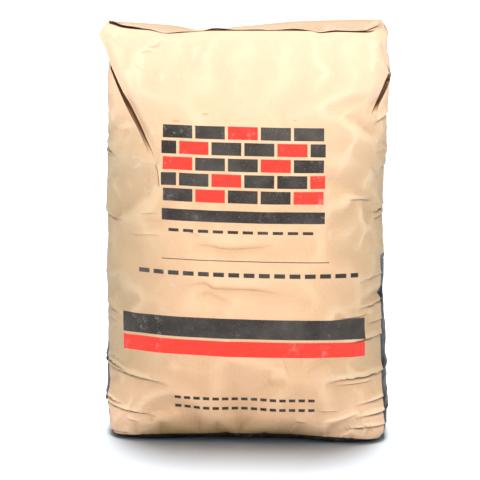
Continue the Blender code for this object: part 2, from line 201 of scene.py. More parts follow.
def points_along(points, shares):
    """Points at the given shares of a dense polyline's length."""
    points = np.asarray(points)
    steps = np.linalg.norm(np.diff(points, axis=0), axis=1)
    along = np.concatenate([[0], np.cumsum(steps)])
    at = np.asarray(shares) * along[-1]
    return np.stack([np.interp(at, along, points[:, k]) for k in range(points.shape[1])], axis=1)


def panel_shares():
    """Shares of a panel's width at which its columns lie."""
    even = np.linspace(0, 1, PANEL_POINTS)
    return even - EDGE_CROWDING * np.sin(2 * math.pi * even) / (2 * math.pi)


PANEL_SHARES = panel_shares()


# Section of the sack at one height

def pleat_x(corner, z):
    """Distance of a corner's fold line from the middle, at one height."""
    pleat = PLEATS[corner]
    (top_x, top_z), (end_x, end_z) = pleat["top"], pleat["end"]
    if z >= top_z:
        share = (z - top_z) / (RIM_Z - top_z)
        return top_x + (EAR_EDGE * pleat["ear"] - top_x) * share * (EAR_BOW + (1 - EAR_BOW) * share)
    if z >= end_z:
        return end_x + (top_x - end_x) * (z - end_z) / (top_z - end_z)
    return pleat["foot"] + (end_x - pleat["foot"]) * smooth(z / end_z)


def pleat_openness(corner, z):
    """How far open a corner's pleat is at one height: 0 is shut flat."""
    pleat = PLEATS[corner]
    top_z, end_z = pleat["top"][1], pleat["end"][1]
    share, reach = pleat["closing"]
    opened = smooth((z - end_z) / (PLEAT_OPENING * (top_z - end_z)))
    return opened * (1 - share * smooth((z - top_z) / reach))


def superellipse(x, half, depth, power):
    """Distance from the middle plane of a superellipse's point at x."""
    return depth * np.clip(1 - (np.abs(x) / half) ** power, 0, 1) ** (1 / power)


class Section:
    """The sack's outline at one height, as quarters of superellipses."""

    def __init__(self, z):
        self.z = z
        self.depth = {"front": through(DEPTHS, 1, z), "back": through(DEPTHS, 2, z)}
        self.power = through(DEPTHS, 3, z)
        start, reach = EAR_POWER_FROM
        self.panel_power = self.power + EAR_POWER * smooth((z - start) / reach)
        self.wall = {"left": through(WIDTHS, 1, z), "right": through(WIDTHS, 2, z)}

    def panel_width(self, face, side):
        """Half width that a panel's curve runs to: the wall's, or above a pleat the flat end's own."""
        corner = f"{face}_{side}"
        edge = pleat_x(corner, self.z) / EAR_EDGE
        flat = smooth((self.z - PLEATS[corner]["top"][1]) / EAR_BLEND + 1)
        return max(edge, self.wall[side]) * (1 - flat) + edge * flat

    def panel(self, face):
        """Points across the front or back panel, from the right fold line to the left one."""
        edges = {s: pleat_x(f"{face}_{s}", self.z) for s in ("right", "left")}
        widths = {s: self.panel_width(face, s) for s in ("right", "left")}
        x = np.linspace(edges["right"], -edges["left"], CURVE_POINTS)
        half = np.where(x > 0, widths["right"], widths["left"])
        y = superellipse(x, half, self.depth[face], self.panel_power)
        for side, sign in (("right", 1), ("left", -1)):
            corner = f"{face}_{side}"
            near = smooth(1 - (edges[side] - sign * x) / DIP_REACH)
            y = y - PLEATS[corner]["dip"] * pleat_openness(corner, self.z) * near**2
        return points_along(np.stack([x, -y if face == "front" else y], axis=1), PANEL_SHARES)

    def wall_start(self, face, side):
        """Angle at which a side wall starts, next to the pleat between it and the front or back panel."""
        corner = f"{face}_{side}"
        pleat, depth, width = PLEATS[corner], self.depth[face], self.wall[side]
        x = pleat_x(corner, self.z)
        opened = pleat_openness(corner, self.z)
        waist = 1 - GAP_NARROWING * smooth(abs(self.z - pleat["widest"]) / GAP_REACH)
        gap = SHUT_GAP + (pleat["gap"] * waist - SHUT_GAP) * opened
        by_x = math.acos(min((x + gap) / width, 1.0) ** (self.power / 2))
        y = superellipse(x, self.panel_width(face, side), depth, self.panel_power)
        by_y = math.asin(min(max(y - 1.3 * gap, 0) / depth, 1.0) ** (self.power / 2))
        above = smooth((self.z - pleat["top"][1]) / EAR_BLEND + 1)
        return by_x + (by_y - by_x) * above

    def side(self, side):
        """Points round one side wall, from the front pleat to the back one."""
        width, power = self.wall[side], self.power
        turn = np.linspace(self.wall_start("front", side), -self.wall_start("back", side), CURVE_POINTS)
        x = width * np.cos(turn) ** (2 / power)
        depth = np.where(turn > 0, -self.depth["front"], self.depth["back"])
        y = depth * np.abs(np.sin(turn)) ** (2 / power)
        shares = np.linspace(0, 1, SIDE_POINTS)
        return points_along(np.stack([x if side == "right" else -x, y], axis=1), shares)

    def groove(self, corner, start, end):
        """Points across the floor of a corner's pleat, which is wider than the gap between its two lips."""
        face, side = corner.split("_")
        opened = pleat_openness(corner, self.z)
        outwards = -1.0 if side == "left" else 1.0
        if corner in ("back_left", "front_right"):
            outwards = -outwards
        shut = np.linspace(-0.5, 0.5, FOLD_POINTS + 2)[1:-1, None] * (end - start)
        floor = np.linspace(-0.5, 0.5, FOLD_POINTS)[:, None] * np.array([outwards * PLEAT_FLOOR, 0.0])
        depth = PLEATS[corner]["depth"] * opened * (1.0 if face == "front" else -1.0)
        return (start + end) / 2 + shut * (1 - opened) + floor * opened + np.array([0.0, depth])

    def ring(self):
        """All points round the section: front right to left, left side, back left to right, right side."""
        front = self.panel("front")
        back = self.panel("back")[::-1]
        left = self.side("left")
        right = self.side("right")[::-1]
        return np.concatenate([
            front, self.groove("front_left", front[-1], left[0]),
            left, self.groove("back_left", left[-1], back[0]),
            back, self.groove("back_right", back[-1], right[0]),
            right, self.groove("front_right", right[-1], front[0]),
        ])


def roll_under(points, z):
    """Pulls a ring in near the floor, further in the middle of a panel than at its corners."""
    half = np.abs(points).max(axis=0)
    corner_share = smooth((np.abs(points[:, 0]) / half[0] - ROLL_FADE[0]) / (ROLL_FADE[1] - ROLL_FADE[0]))
    radius = ROLL_MIDDLE + (ROLL_CORNER - ROLL_MIDDLE) * corner_share
    below = np.clip(radius - z, 0, None)
    inset = radius - np.sqrt(radius**2 - below**2)
    return points * (1 - inset[:, None] / half[None, :])


def crease_height(x, y):
    """Height of the upper creases over a point of the end, from the front's at the front to the back's."""
    back_share = np.clip(y / END_DEPTH + 0.5, 0, 1)
    return through(FRONT_CREASE, 1, x) * (1 - back_share) + through(BACK_CREASE, 1, x) * back_share


def ring_at(z):
    """One ring of the tube in space."""
    points = roll_under(Section(z).ring(), z)
    x, y = points[:, 0], points[:, 1]
    lift = smooth((z - RIM_BLEND_Z) / (RIM_Z - RIM_BLEND_Z)) * (crease_height(x, y) - RIM_Z)
    return np.stack([x, y, BASE_Z + z + lift], axis=1)


def row_heights():
    """Heights of all rings, close together at the foot and under the upper creases."""
    heights = [*FOOT_HEIGHTS]
    for top, step in ROW_STEPS:
        low = heights[-1]
        heights += np.linspace(low, top, round((top - low) / step) + 1)[1:].tolist()
    return [*heights, *RIM_HEIGHTS]


# The smooth tube as a grid: rows going up, columns going round

SEAM_JUMP = 0.3           # neighbours that differ by more than this share of the range lie across a seam


def around(values, shift):
    """The grid's values moved round by some columns."""
    return np.roll(values, shift, axis=1)


def read_grid(grid, rows, columns):
    """A grid's values at fractional rows and columns. Its columns go round."""
    r = np.clip(rows.astype(int), 0, grid.shape[0] - 2)
    c = np.floor(columns).astype(int)
    up, side = rows - r, columns - c
    if grid.ndim == 3:
        up, side = up[..., None], side[..., None]
    c, following = c % grid.shape[1], (c + 1) % grid.shape[1]
    low = grid[r, c] * (1 - side) + grid[r, following] * side
    high = grid[r + 1, c] * (1 - side) + grid[r + 1, following] * side
    return low * (1 - up) + high * up


def grid_faces(rows, columns):
    """The four-sided faces of a grid whose columns go round, by their points' numbers."""
    grid = np.arange(rows * columns).reshape(rows, columns)
    right = around(grid, -1)
    return np.stack([grid[:-1], right[:-1], right[1:], grid[1:]], axis=-1).reshape(-1, 4).tolist()


class Tube:
    """Points, outward normals and flat paper coordinates of the whole tube, before it is creased."""

    def __init__(self):
        self.points = np.array([ring_at(z) for z in row_heights()])
        low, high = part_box("sack")
        ends = self.points.reshape(-1, 3)
        for axis in (0, 1):
            own = (ends[:, axis].min() + ends[:, axis].max()) / 2
            self.points[:, :, axis] += (low[axis] + high[axis]) / 2 - own
        steps = np.linalg.norm(around(self.points, -1) - self.points, axis=2)
        along = np.cumsum(steps, axis=1) - steps
        length = steps.sum(axis=1)[:, None]
        panel, panel_along = self.points[:, :PANEL_POINTS, 0], along[:, :PANEL_POINTS]
        middle = np.array([np.interp(0.0, x[::-1], a[::-1]) for x, a in zip(panel, panel_along)])
        front = middle[:, None] - along
        self.front = np.where(front < -length / 2, front + length, front)
        self.back = np.sign(self.front) * (length / 2 - np.abs(self.front))
        self.turn = self.front / length
        self.inside = self.find_pleat_shade()
        self.normals = self.find_normals()

    def find_pleat_shade(self):
        """Where shade is painted inside the open pleats: 1 inside them, 0 elsewhere."""
        inside = np.zeros(self.front.shape)
        for corner, first in FOLD_STARTS.items():
            opened = np.array([pleat_openness(corner, z) for z in row_heights()])
            inside[:, first:first + FOLD_POINTS] = opened[:, None]
        return inside

    def find_normals(self):
        """Outward normals, smoothed over a few cells."""
        across = around(self.points, -1) - around(self.points, 1)
        upward = np.gradient(self.points, axis=0)
        normals = np.cross(upward, across)
        for _ in range(3):
            normals = (around(normals, 1) + 2 * normals + around(normals, -1)) / 4
        return normals / np.linalg.norm(normals, axis=2, keepdims=True)

    def resample(self, rows, columns):
        """Reads the whole tube again at fractional rows and columns."""
        rows = np.clip(rows, 0, self.points.shape[0] - 1)
        r = np.minimum(rows.astype(int), self.points.shape[0] - 2)
        c = np.floor(columns).astype(int)
        count = self.points.shape[1]
        for name in ("points", "normals", "front", "back", "turn", "inside"):
            grid = getattr(self, name)
            read = read_grid(grid, rows, columns)
            if name in ("front", "back", "turn"):
                own, following = grid[r, c % count], grid[r, (c + 1) % count]
                read = np.where(np.abs(own - following) > SEAM_JUMP * np.ptp(grid), own, read)
            setattr(self, name, read)


# Creases in the paper

FOLD_EDGE = 0.0006        # half thickness of a folded edge
FOLD_DROP = 0.45          # how far the paper under a fold sinks, as a share of the fold's height
FOLD_UNDER = 0.6          # width of that hollow, as a share of the fold's
FURROW_BROW = 0.32        # width of a furrow's steep upper side, as a share of its lower side's


def profile(kind, distance, width):
    """Height of a crease of unit size at a signed distance from its line."""
    if kind == "ridge":
        return np.exp(-np.sqrt(distance**2 + FOLD_EDGE**2) / width)
    if kind == "swell":
        return np.exp(-((distance / width) ** 2))
    if kind == "furrow":
        above, below = np.clip(distance, 0, None), np.clip(distance, None, 0)
        return -np.exp(below / width - above / (FURROW_BROW * width))
    raised = 0.5 * (1 + np.tanh(distance / FOLD_EDGE))
    over = raised * np.exp(-np.clip(distance, 0, None) / width)
    under = (1 - raised) * np.exp(np.clip(distance, None, 0) / (FOLD_UNDER * width))
    return over - FOLD_DROP * under


def path_through(points, count=13):
    """A smooth path through two or more points."""
    points = np.asarray(points, float)
    if len(points) == 2:
        return points[0] + (points[1] - points[0]) * np.linspace(0, 1, count)[:, None]
    at = np.linspace(0, len(points) - 1, count)
    stations = [(k, *p) for k, p in enumerate(points)]
    return np.stack([through(stations, 1, at), through(stations, 2, at)], axis=1)


def measure(path, flat, reach):
    """The points near a path, their signed distances from it and their shares along it.

    A distance is positive above the path, or to the right of an upright one.
    """
    low, high = path.min(axis=0) - reach, path.max(axis=0) + reach
    near = np.nonzero(((flat > low) & (flat < high)).all(axis=1))[0]
    steps = np.diff(path, axis=0)
    sizes = np.linalg.norm(steps, axis=1)
    starts = np.concatenate([[0], np.cumsum(sizes)])
    best = np.full(len(near), np.inf)
    signed, share = np.zeros(len(near)), np.zeros(len(near))
    run, rise = path[-1] - path[0]
    sign = 1.0 if (run > 0 if abs(run) >= abs(rise) else rise < 0) else -1.0
    for k, (step, size) in enumerate(zip(steps, sizes)):
        local = flat[near] - path[k]
        t = np.clip(local @ step / size**2, 0, 1)
        distance = np.linalg.norm(local - t[:, None] * step, axis=1)
        closer = distance < best
        side = np.sign(step[0] * local[:, 1] - step[1] * local[:, 0])
        best = np.where(closer, distance, best)
        signed = np.where(closer, sign * side * distance, signed)
        share = np.where(closer, (starts[k] + t * size) / starts[-1], share)
    return near, signed, share


def fade(share, fades):
    """Full in the middle of a crease, fading out over a share of its length at either end."""
    return smooth(share / fades[0]) * smooth((1 - share) / fades[1])


class Relief:
    """Height over the smooth tube, the paper's slide along it where a fold hangs over, and the shadow painted
    under such a fold's lip.
    """

    def __init__(self, tube):
        self.tube = tube
        self.shape = tube.front.shape
        self.height = np.zeros(tube.front.size)
        self.slide = np.zeros((tube.front.size, 2))
        self.fold_shadow = np.zeros(tube.front.size)
        up = tube.points[:, :, 2].ravel()
        self.flat = {
            "front": np.stack([tube.front.ravel(), up], axis=1),
            "back": np.stack([tube.back.ravel(), up], axis=1),
        }

    def crease(self, face, points, height, width, kind, fades, lean):
        """Adds one crease along a path on the front's or the back's flat paper, and under a leaning fold a
        painted shadow line.
        """
        path = path_through(points)
        near, signed, share = measure(path, self.flat[face], 5 * width)
        strength = fade(share, fades)
        size = height * strength * profile(kind, signed, width)
        self.height[near] += size
        if lean and height > 0:
            # painted shadow: a dark line just under the fold's overhanging lip
            below = signed + lean * height * strength + FOLD_SHADOW_DROP
            depth = min(max(height - FOLD_SHADOW_LEAST, 0) / FOLD_SHADOW_LEAST, 1)
            dark = strength * depth * np.exp(-((below / FOLD_SHADOW_WIDTH) ** 2))
            self.fold_shadow[near] = np.maximum(self.fold_shadow[near], dark)
            run = path[-1] - path[0]
            down = np.array([run[1], -run[0]]) / np.linalg.norm(run)
            down *= -1 if down[1] > 0 else 1
            self.slide[near] += np.clip(size, 0, None)[:, None] * lean * down


CREASE_REACH = 0.015      # rows and columns gather within this distance of a main crease
CREASE_CROWDING = 0.80
GATHERED_WIDTH = 0.011    # only creases up to this width need it
FOLD_SHADOW_DROP = 0.0004       # the painted shadow line under a fold lies this far below its lip
FOLD_SHADOW_WIDTH = 0.0013
FOLD_SHADOW_LEAST = 0.0012      # a fold lower than this has no painted shadow line


def gather_rows(tube, creases):
    """Moves rows and columns of the grid towards the main creases, so that these have sharp edges."""
    rows, columns = np.meshgrid(*(np.arange(n, dtype=float) for n in tube.front.shape), indexing="ij")
    up = tube.points[:, :, 2]
    per_row = np.gradient(up, axis=0)
    per_column = (around(tube.front, -1) - around(tube.front, 1)) / 2
    per_column = np.where(np.abs(per_column) > 0.01, -0.003, per_column)
    flat = np.stack([tube.front.ravel(), up.ravel()], axis=1)
    moved = flat.copy()
    for kind, _size, points in creases:
        width, fades = CREASE_KINDS[kind][2], CREASE_KINDS[kind][4]
        if width > GATHERED_WIDTH:
            continue
        path = path_through(points)
        near, signed, share = measure(path, moved, CREASE_REACH)
        run = path[-1] - path[0]
        across = np.array([-run[1], run[0]]) / np.linalg.norm(run)
        sign = 1.0 if (across[1] > 0 if abs(run[0]) >= abs(run[1]) else across[0] > 0) else -1.0
        pull = CREASE_CROWDING * fade(share, (0.1, min(max(fades[1], 0.1), 0.4)))
        shift = -signed * pull * (1 - smooth(np.abs(signed) / CREASE_REACH))
        moved[near] += (sign * shift)[:, None] * across
    offset = (moved - flat).reshape(*tube.front.shape, 2)
    tube.resample(rows + offset[..., 1] / np.maximum(per_row, 1e-4), columns + offset[..., 0] / per_column)


# Kinds of crease: (profile, height, width, lean, shares of its length over which it fades in and out)
CREASE_KINDS = {
    "tuck": ("fold", 0.0040, 0.0058, 0.90, (0.28, 0.42)),
    "fold": ("fold", 0.0026, 0.0046, 0.65, (0.35, 0.38)),
    "crimp": ("fold", 0.0016, 0.0038, 0.40, (0.30, 0.40)),
    "brow": ("fold", 0.0036, 0.0100, 0.30, (0.25, 0.25)),
    "furrow": ("furrow", 0.0040, 0.0110, 0.00, (0.30, 0.35)),
    "dent": ("swell", -0.0052, 0.0065, 0.00, (0.15, 0.60)),
    "ridge": ("ridge", 0.0022, 0.0055, 0.00, (0.20, 0.35)),
    "shoulder": ("ridge", 0.0050, 0.0240, 0.00, (0.20, 0.50)),
    "wave": ("swell", 0.0014, 0.0090, 0.00, (0.40, 0.45)),
}

# Main creases of the front: (kind, size, path over its flat paper from the middle and from the floor). A path
# from a corner starts round it on the side wall. Left is negative.
FRONT_CREASES = [
    # coming in from the left corner
    ("fold", 0.9, [(-0.258, 0.207), (-0.214, 0.199), (-0.188, 0.190)]),
    ("crimp", 1.0, [(-0.259, 0.183), (-0.219, 0.182), (-0.185, 0.178)]),
    ("fold", 1.2, [(-0.278, 0.124), (-0.233, 0.121), (-0.198, 0.115), (-0.166, 0.103)]),
    ("tuck", 1.0, [(-0.278, 0.115), (-0.223, 0.113), (-0.181, 0.106), (-0.142, 0.098), (-0.106, 0.088)]),
    ("fold", 1.0, [(-0.265, 0.063), (-0.219, 0.060), (-0.178, 0.055)]),
    ("tuck", 0.9, [(-0.276, 0.055), (-0.221, 0.053), (-0.168, 0.047), (-0.121, 0.038)]),
    ("crimp", 0.8, [(-0.181, 0.034), (-0.155, 0.029)]),
    ("fold", 0.6, [(-0.250, 0.012), (-0.210, 0.012), (-0.156, 0.011)]),
    ("wave", 0.8, [(-0.115, 0.128), (-0.093, 0.107)]),
    ("brow", 0.7, [(-0.130, 0.420), (-0.125, 0.407), (-0.123, 0.384)]),
    ("tuck", 0.9, [(-0.262, 0.447), (-0.236, 0.445), (-0.214, 0.438), (-0.192, 0.423)]),
    ("fold", 1.0, [(-0.262, 0.431), (-0.234, 0.431), (-0.211, 0.428), (-0.196, 0.424)]),
    ("ridge", 0.9, [(-0.208, 0.395), (-0.193, 0.369), (-0.179, 0.327)]),
    ("ridge", 0.6, [(-0.180, 0.394), (-0.169, 0.377)]),
    ("tuck", 0.7, [(-0.251, 0.346), (-0.218, 0.341), (-0.196, 0.334), (-0.176, 0.333)]),
    ("crimp", 0.8, [(-0.157, 0.344), (-0.123, 0.349)]),
    ("crimp", 0.8, [(-0.176, 0.312), (-0.116, 0.317)]),
    ("ridge", 0.6, [(-0.242, 0.247), (-0.217, 0.249), (-0.174, 0.256)]),
    ("ridge", -0.5, [(-0.242, 0.225), (-0.217, 0.226), (-0.184, 0.228)]),
    # shallow furrows across the middle
    ("furrow", 1.0, [(-0.078, 0.300), (-0.059, 0.302), (-0.021, 0.296), (0.029, 0.301), (0.049, 0.311)]),
    ("crimp", 0.8, [(-0.083, 0.323), (-0.058, 0.316)]),
    ("furrow", 1.0, [(-0.089, 0.240), (-0.059, 0.245), (-0.044, 0.238), (0.016, 0.236), (0.060, 0.231)]),
    ("furrow", 0.5, [(-0.078, 0.229), (-0.054, 0.231), (-0.033, 0.224), (-0.012, 0.216)]),
    ("wave", 1.0, [(0.035, 0.099), (0.064, 0.119)]),
    ("wave", -1.0, [(0.086, 0.114), (0.118, 0.132), (0.138, 0.138)]),
    # coming in from the right corner
    ("tuck", 0.8, [(0.243, 0.493), (0.226, 0.492), (0.205, 0.487), (0.186, 0.472)]),
    ("shoulder", 1.0, [(0.171, 0.482), (0.147, 0.435), (0.125, 0.387)]),
    ("fold", 1.0, [(0.244, 0.441), (0.226, 0.434), (0.208, 0.420)]),
    ("fold", 0.9, [(0.246, 0.420), (0.225, 0.416), (0.200, 0.409)]),
    ("ridge", 1.0, [(0.190, 0.410), (0.177, 0.395), (0.171, 0.377)]),
    ("crimp", 1.2, [(0.192, 0.364), (0.166, 0.369), (0.146, 0.367)]),
    ("fold", 1.0, [(0.246, 0.356), (0.221, 0.353), (0.202, 0.348), (0.185, 0.345)]),
    ("fold", 1.0, [(0.244, 0.342), (0.216, 0.341), (0.188, 0.333)]),
    ("ridge", 0.9, [(0.188, 0.331), (0.179, 0.320), (0.164, 0.286)]),
    ("crimp", 1.1, [(0.236, 0.253), (0.206, 0.252), (0.166, 0.245)]),
    ("dent", 1.0, [(0.246, 0.227), (0.234, 0.226), (0.199, 0.221), (0.166, 0.209)]),
    ("fold", 1.0, [(0.239, 0.216), (0.219, 0.214), (0.188, 0.209), (0.165, 0.206)]),
    ("fold", 0.8, [(0.188, 0.197), (0.172, 0.195), (0.135, 0.193)]),
    ("fold", 0.7, [(0.238, 0.186), (0.203, 0.184), (0.177, 0.178)]),
    ("fold", 1.1, [(0.256, 0.164), (0.211, 0.163), (0.175, 0.159), (0.139, 0.154)]),
    ("tuck", 1.1, [(0.280, 0.117), (0.226, 0.111), (0.201, 0.107), (0.151, 0.103), (0.112, 0.094)]),
    ("crimp", 1.0, [(0.201, 0.096), (0.174, 0.094), (0.128, 0.092)]),
    ("fold", 1.0, [(0.262, 0.068), (0.217, 0.067), (0.189, 0.065), (0.158, 0.058)]),
    ("tuck", 1.0, [(0.276, 0.047), (0.228, 0.048), (0.189, 0.046), (0.154, 0.036)]),
    ("crimp", 1.0, [(0.269, 0.052), (0.239, 0.054), (0.205, 0.055)]),
    ("crimp", 0.8, [(0.107, 0.053), (0.123, 0.053), (0.143, 0.054)]),
    ("ridge", 1.0, [(0.172, 0.052), (0.141, 0.040), (0.108, 0.036)]),
    ("crimp", 0.7, [(0.073, 0.038), (0.094, 0.036)]),
    ("fold", 1.1, [(0.250, 0.020), (0.208, 0.027), (0.181, 0.027), (0.153, 0.025), (0.136, 0.019)]),
    ("crimp", 1.0, [(0.190, 0.027), (0.176, 0.017)]),
    ("ridge", 0.7, [(0.165, 0.025), (0.153, 0.018), (0.142, 0.009)]),
    # under the flat end
    ("crimp", 1.0, [(-0.143, 0.586), (-0.130, 0.586), (-0.118, 0.594)]),
    ("crimp", 0.8, [(-0.158, 0.564), (-0.151, 0.557), (-0.143, 0.554)]),
    ("crimp", 0.9, [(-0.151, 0.575), (-0.140, 0.580), (-0.129, 0.578)]),
    ("ridge", 0.8, [(-0.125, 0.551), (-0.118, 0.543), (-0.123, 0.531)]),
    ("ridge", 0.9, [(-0.077, 0.585), (-0.073, 0.575), (-0.078, 0.560)]),
    ("ridge", 1.1, [(-0.042, 0.605), (-0.044, 0.591), (-0.049, 0.578), (-0.047, 0.562)]),
    ("ridge", 1.0, [(-0.066, 0.573), (-0.055, 0.566), (-0.052, 0.555), (-0.057, 0.542)]),
    ("crimp", 0.6, [(-0.097, 0.538), (-0.088, 0.545)]),
    ("ridge", 0.5, [(0.099, 0.601), (0.098, 0.568)]),
    ("ridge", 1.2, [(0.180, 0.601), (0.181, 0.543)]),
    ("ridge", -0.8, [(0.200, 0.595), (0.193, 0.554)]),
]


def wrinkle(relief, rng, face, centre, angle, length, height, width, kind="ridge", bend=0.15, lean=0.0):
    """Adds one slightly bent crease round its middle point."""
    direction = np.array([math.cos(angle), math.sin(angle)])
    aside = np.array([-direction[1], direction[0]]) * rng.uniform(-bend, bend) * length
    middle = np.asarray(centre, float)
    points = [middle - direction * length / 2, middle + aside, middle + direction * length / 2]
    relief.crease(face, points, height, width, kind, WRINKLE_FADES, lean)


WRINKLE_FADES = (0.35, 0.45)
CORNER_X = 0.205
# How many (large, small) wrinkles each face has beside its corners, at its foot and under its flat end
WRINKLES = {
    "front": {"corner": (5, 9), "foot": (0, 5), "end": 24},
    "back": {"corner": (14, 26), "foot": (9, 22), "end": 40},
}
BACK_FOLDS = 15
SIDE_FOLDS = 10           # on each side wall


def corner_wrinkles(relief, rng):
    """Short wrinkles where the paper turns round the sack's upright corners."""
    for face, counts in WRINKLES.items():
        large, small = counts["corner"]
        for place in (-CORNER_X, CORNER_X):
            for _ in range(large):
                centre = (place + rng.normal(0, 0.020), rng.uniform(0.03, 0.50))
                size = rng.uniform(0.4, 1.0)
                wrinkle(relief, rng, face, centre, rng.normal(0, 0.35), 0.028 + 0.05 * size,
                        0.0018 * size * rng.choice([1, 1, -1]), 0.004 + 0.003 * size,
                        rng.choice(["ridge", "fold"]), lean=0.4)
            for _ in range(small):
                centre = (place + math.copysign(0.004, place) + rng.normal(0, 0.012), rng.uniform(0.02, 0.50))
                size = rng.uniform(0.3, 1.0)
                wrinkle(relief, rng, face, centre, rng.normal(0, 0.6), 0.008 + 0.020 * size,
                        0.0014 * size * rng.choice([1, -1]), 0.0025 + 0.0015 * size,
                        rng.choice(["ridge", "fold"]))


def foot_wrinkles(relief, rng):
    """Long creases that sag towards the middle, and small knuckles where the paper rolls under."""
    for face, counts in WRINKLES.items():
        large, small = counts["foot"]
        for _ in range(large):
            x = rng.uniform(-0.17, 0.17)
            centre = (x, rng.uniform(0.015, 0.10))
            size = rng.uniform(0.4, 1.0)
            wrinkle(relief, rng, face, centre, 1.1 * x + rng.normal(0, 0.15), 0.05 + 0.07 * size,
                    0.0013 * size, 0.004 + 0.004 * size, "fold", lean=0.4)
        for _ in range(small):
            centre = (rng.uniform(-0.29, 0.29), abs(rng.normal(0, 0.020)) + 0.008)
            size = rng.uniform(0.4, 1.0)
            wrinkle(relief, rng, face, centre, rng.normal(0, 0.35), 0.014 + 0.04 * size,
                    0.0013 * size * rng.choice([1, -1]), 0.003 + 0.002 * size)


def end_wrinkles(relief, rng):
    """Upright stress creases below the flat end."""
    for face, counts in WRINKLES.items():
        for _ in range(counts["end"]):
            centre = (rng.uniform(-0.19, 0.19), rng.uniform(0.535, 0.60))
            size = rng.uniform(0.3, 1.0)
            wrinkle(relief, rng, face, centre, math.pi / 2 + rng.normal(0, 0.45), 0.012 + 0.040 * size,
                    0.0011 * size * rng.choice([1, -1]), 0.0025 + 0.004 * size)


def broad_folds(relief, rng):
    """Long soft creases over the back and the two sides, where the filling has slumped."""
    for _ in range(BACK_FOLDS):
        z = rng.uniform(0.05, 0.50)
        centre = (rng.uniform(-0.15, 0.15), z)
        wrinkle(relief, rng, "back", centre, rng.normal(0, 0.25), rng.uniform(0.09, 0.20),
                rng.uniform(0.0010, 0.0024), rng.uniform(0.007, 0.012), "fold", bend=0.07, lean=0.4)
    for sign in (-1, 1):
        for _ in range(SIDE_FOLDS):
            centre = (sign * rng.uniform(0.24, 0.34), rng.uniform(0.05, 0.48))
            wrinkle(relief, rng, "front", centre, rng.normal(0, 0.30), rng.uniform(0.05, 0.11),
                    rng.uniform(0.0010, 0.0024), rng.uniform(0.006, 0.010), "fold", lean=0.4)


PAPER_LENGTH = 1.18       # the paper's way round the sack
PAPER_HEIGHT = 0.62
FACET_HEIGHTS = (-0.02, 0.63)
LARGE_FACETS = (0.060, 0.0017)       # (spacing, height)
SMALL_FACETS = (0.026, 0.0006)
SMALLEST_AREA = 1e-12


def facets(relief, rng, spacing, size, weight):
    """Crumples the paper into flat facets: heights at scattered points, joined by triangles."""
    count = round(PAPER_LENGTH * PAPER_HEIGHT / spacing**2)
    spots = np.stack([rng.uniform(-0.5, 0.5, count), rng.uniform(*FACET_HEIGHTS, count)], axis=1)
    heights = rng.normal(0, 1, count) * size
    wide = np.concatenate([spots, spots + (1, 0), spots - (1, 0)])
    wide_heights = np.concatenate([heights] * 3)
    keep = np.abs(wide[:, 0]) < 0.6
    wide, wide_heights = wide[keep] * (PAPER_LENGTH, 1), wide_heights[keep]
    flat = np.stack([relief.tube.turn.ravel() * PAPER_LENGTH, relief.flat["front"][:, 1]], axis=1)
    made = geometry.delaunay_2d_cdt([Vector(p) for p in wide], [], [], 0, 1e-6)
    corners, triangles, origins = made[0], made[2], made[3]
    own = np.array([wide_heights[o[0]] for o in origins])
    corners = np.array(corners)
    added = np.zeros(len(flat))
    order = np.argsort(flat[:, 0])
    sorted_x = flat[order, 0]
    for triangle in triangles:
        a, b, c = corners[triangle[0]], corners[triangle[1]], corners[triangle[2]]
        first = np.searchsorted(sorted_x, min(a[0], b[0], c[0]))
        last = np.searchsorted(sorted_x, max(a[0], b[0], c[0]), side="right")
        some = order[first:last]
        up = flat[some, 1]
        some = some[(up >= min(a[1], b[1], c[1])) & (up <= max(a[1], b[1], c[1]))]
        p = flat[some] - a
        u, v = b - a, c - a
        area = u[0] * v[1] - u[1] * v[0]
        if abs(area) < SMALLEST_AREA or len(some) == 0:
            continue
        s = (p[:, 0] * v[1] - p[:, 1] * v[0]) / area
        t = (u[0] * p[:, 1] - u[1] * p[:, 0]) / area
        inside = (s >= -1e-6) & (t >= -1e-6) & (s + t <= 1 + 1e-6)
        h = own[list(triangle)]
        value = h[0] + s * (h[1] - h[0]) + t * (h[2] - h[0])
        added[some[inside]] = value[inside]
    relief.height += added * weight


NOISE_CELLS = 32


def noise(points, spacing, seed):
    """Smooth noise in space from -1 to 1, with features about as wide as the spacing."""
    table = np.random.default_rng(seed).uniform(-1, 1, (NOISE_CELLS,) * 3)
    at = points / spacing
    cell = np.floor(at).astype(int)
    part = smooth(at - cell)
    total = np.zeros(points.shape[:-1])
    for corner in np.ndindex(2, 2, 2):
        share = np.prod(np.where(np.array(corner), part, 1 - part), axis=-1)
        k = (cell + np.array(corner)) % NOISE_CELLS
        total += share * table[k[..., 0], k[..., 1], k[..., 2]]
    return total


FRONT_CALM = 0.5          # the front's share of the crumpling that the sides and the back have
FOOT_CALM = 0.40          # the share of it that the middle of the foot has
FOOT_HEIGHT = 0.14        # height over which the foot's crumpling fades
STEADY_AT = 0.240         # the front's outline, as a distance along the paper from the middle
STEADY_REACH = 0.045
STEADY_SHARE = 0.75       # share of the broad unevenness that it is spared


def steady_corners(front):
    """Weight of the broad unevenness: weak where the front's outline is seen."""
    return 1 - STEADY_SHARE * np.exp(-(((np.abs(front) - STEADY_AT) / STEADY_REACH) ** 2))


def foot_crumpling(x, up, top):
    """How much the foot crumples, up to a height: less in its middle."""
    return smooth((top - up) / FOOT_HEIGHT) * (FOOT_CALM + (1 - FOOT_CALM) * smooth((x - 0.10) / 0.07))


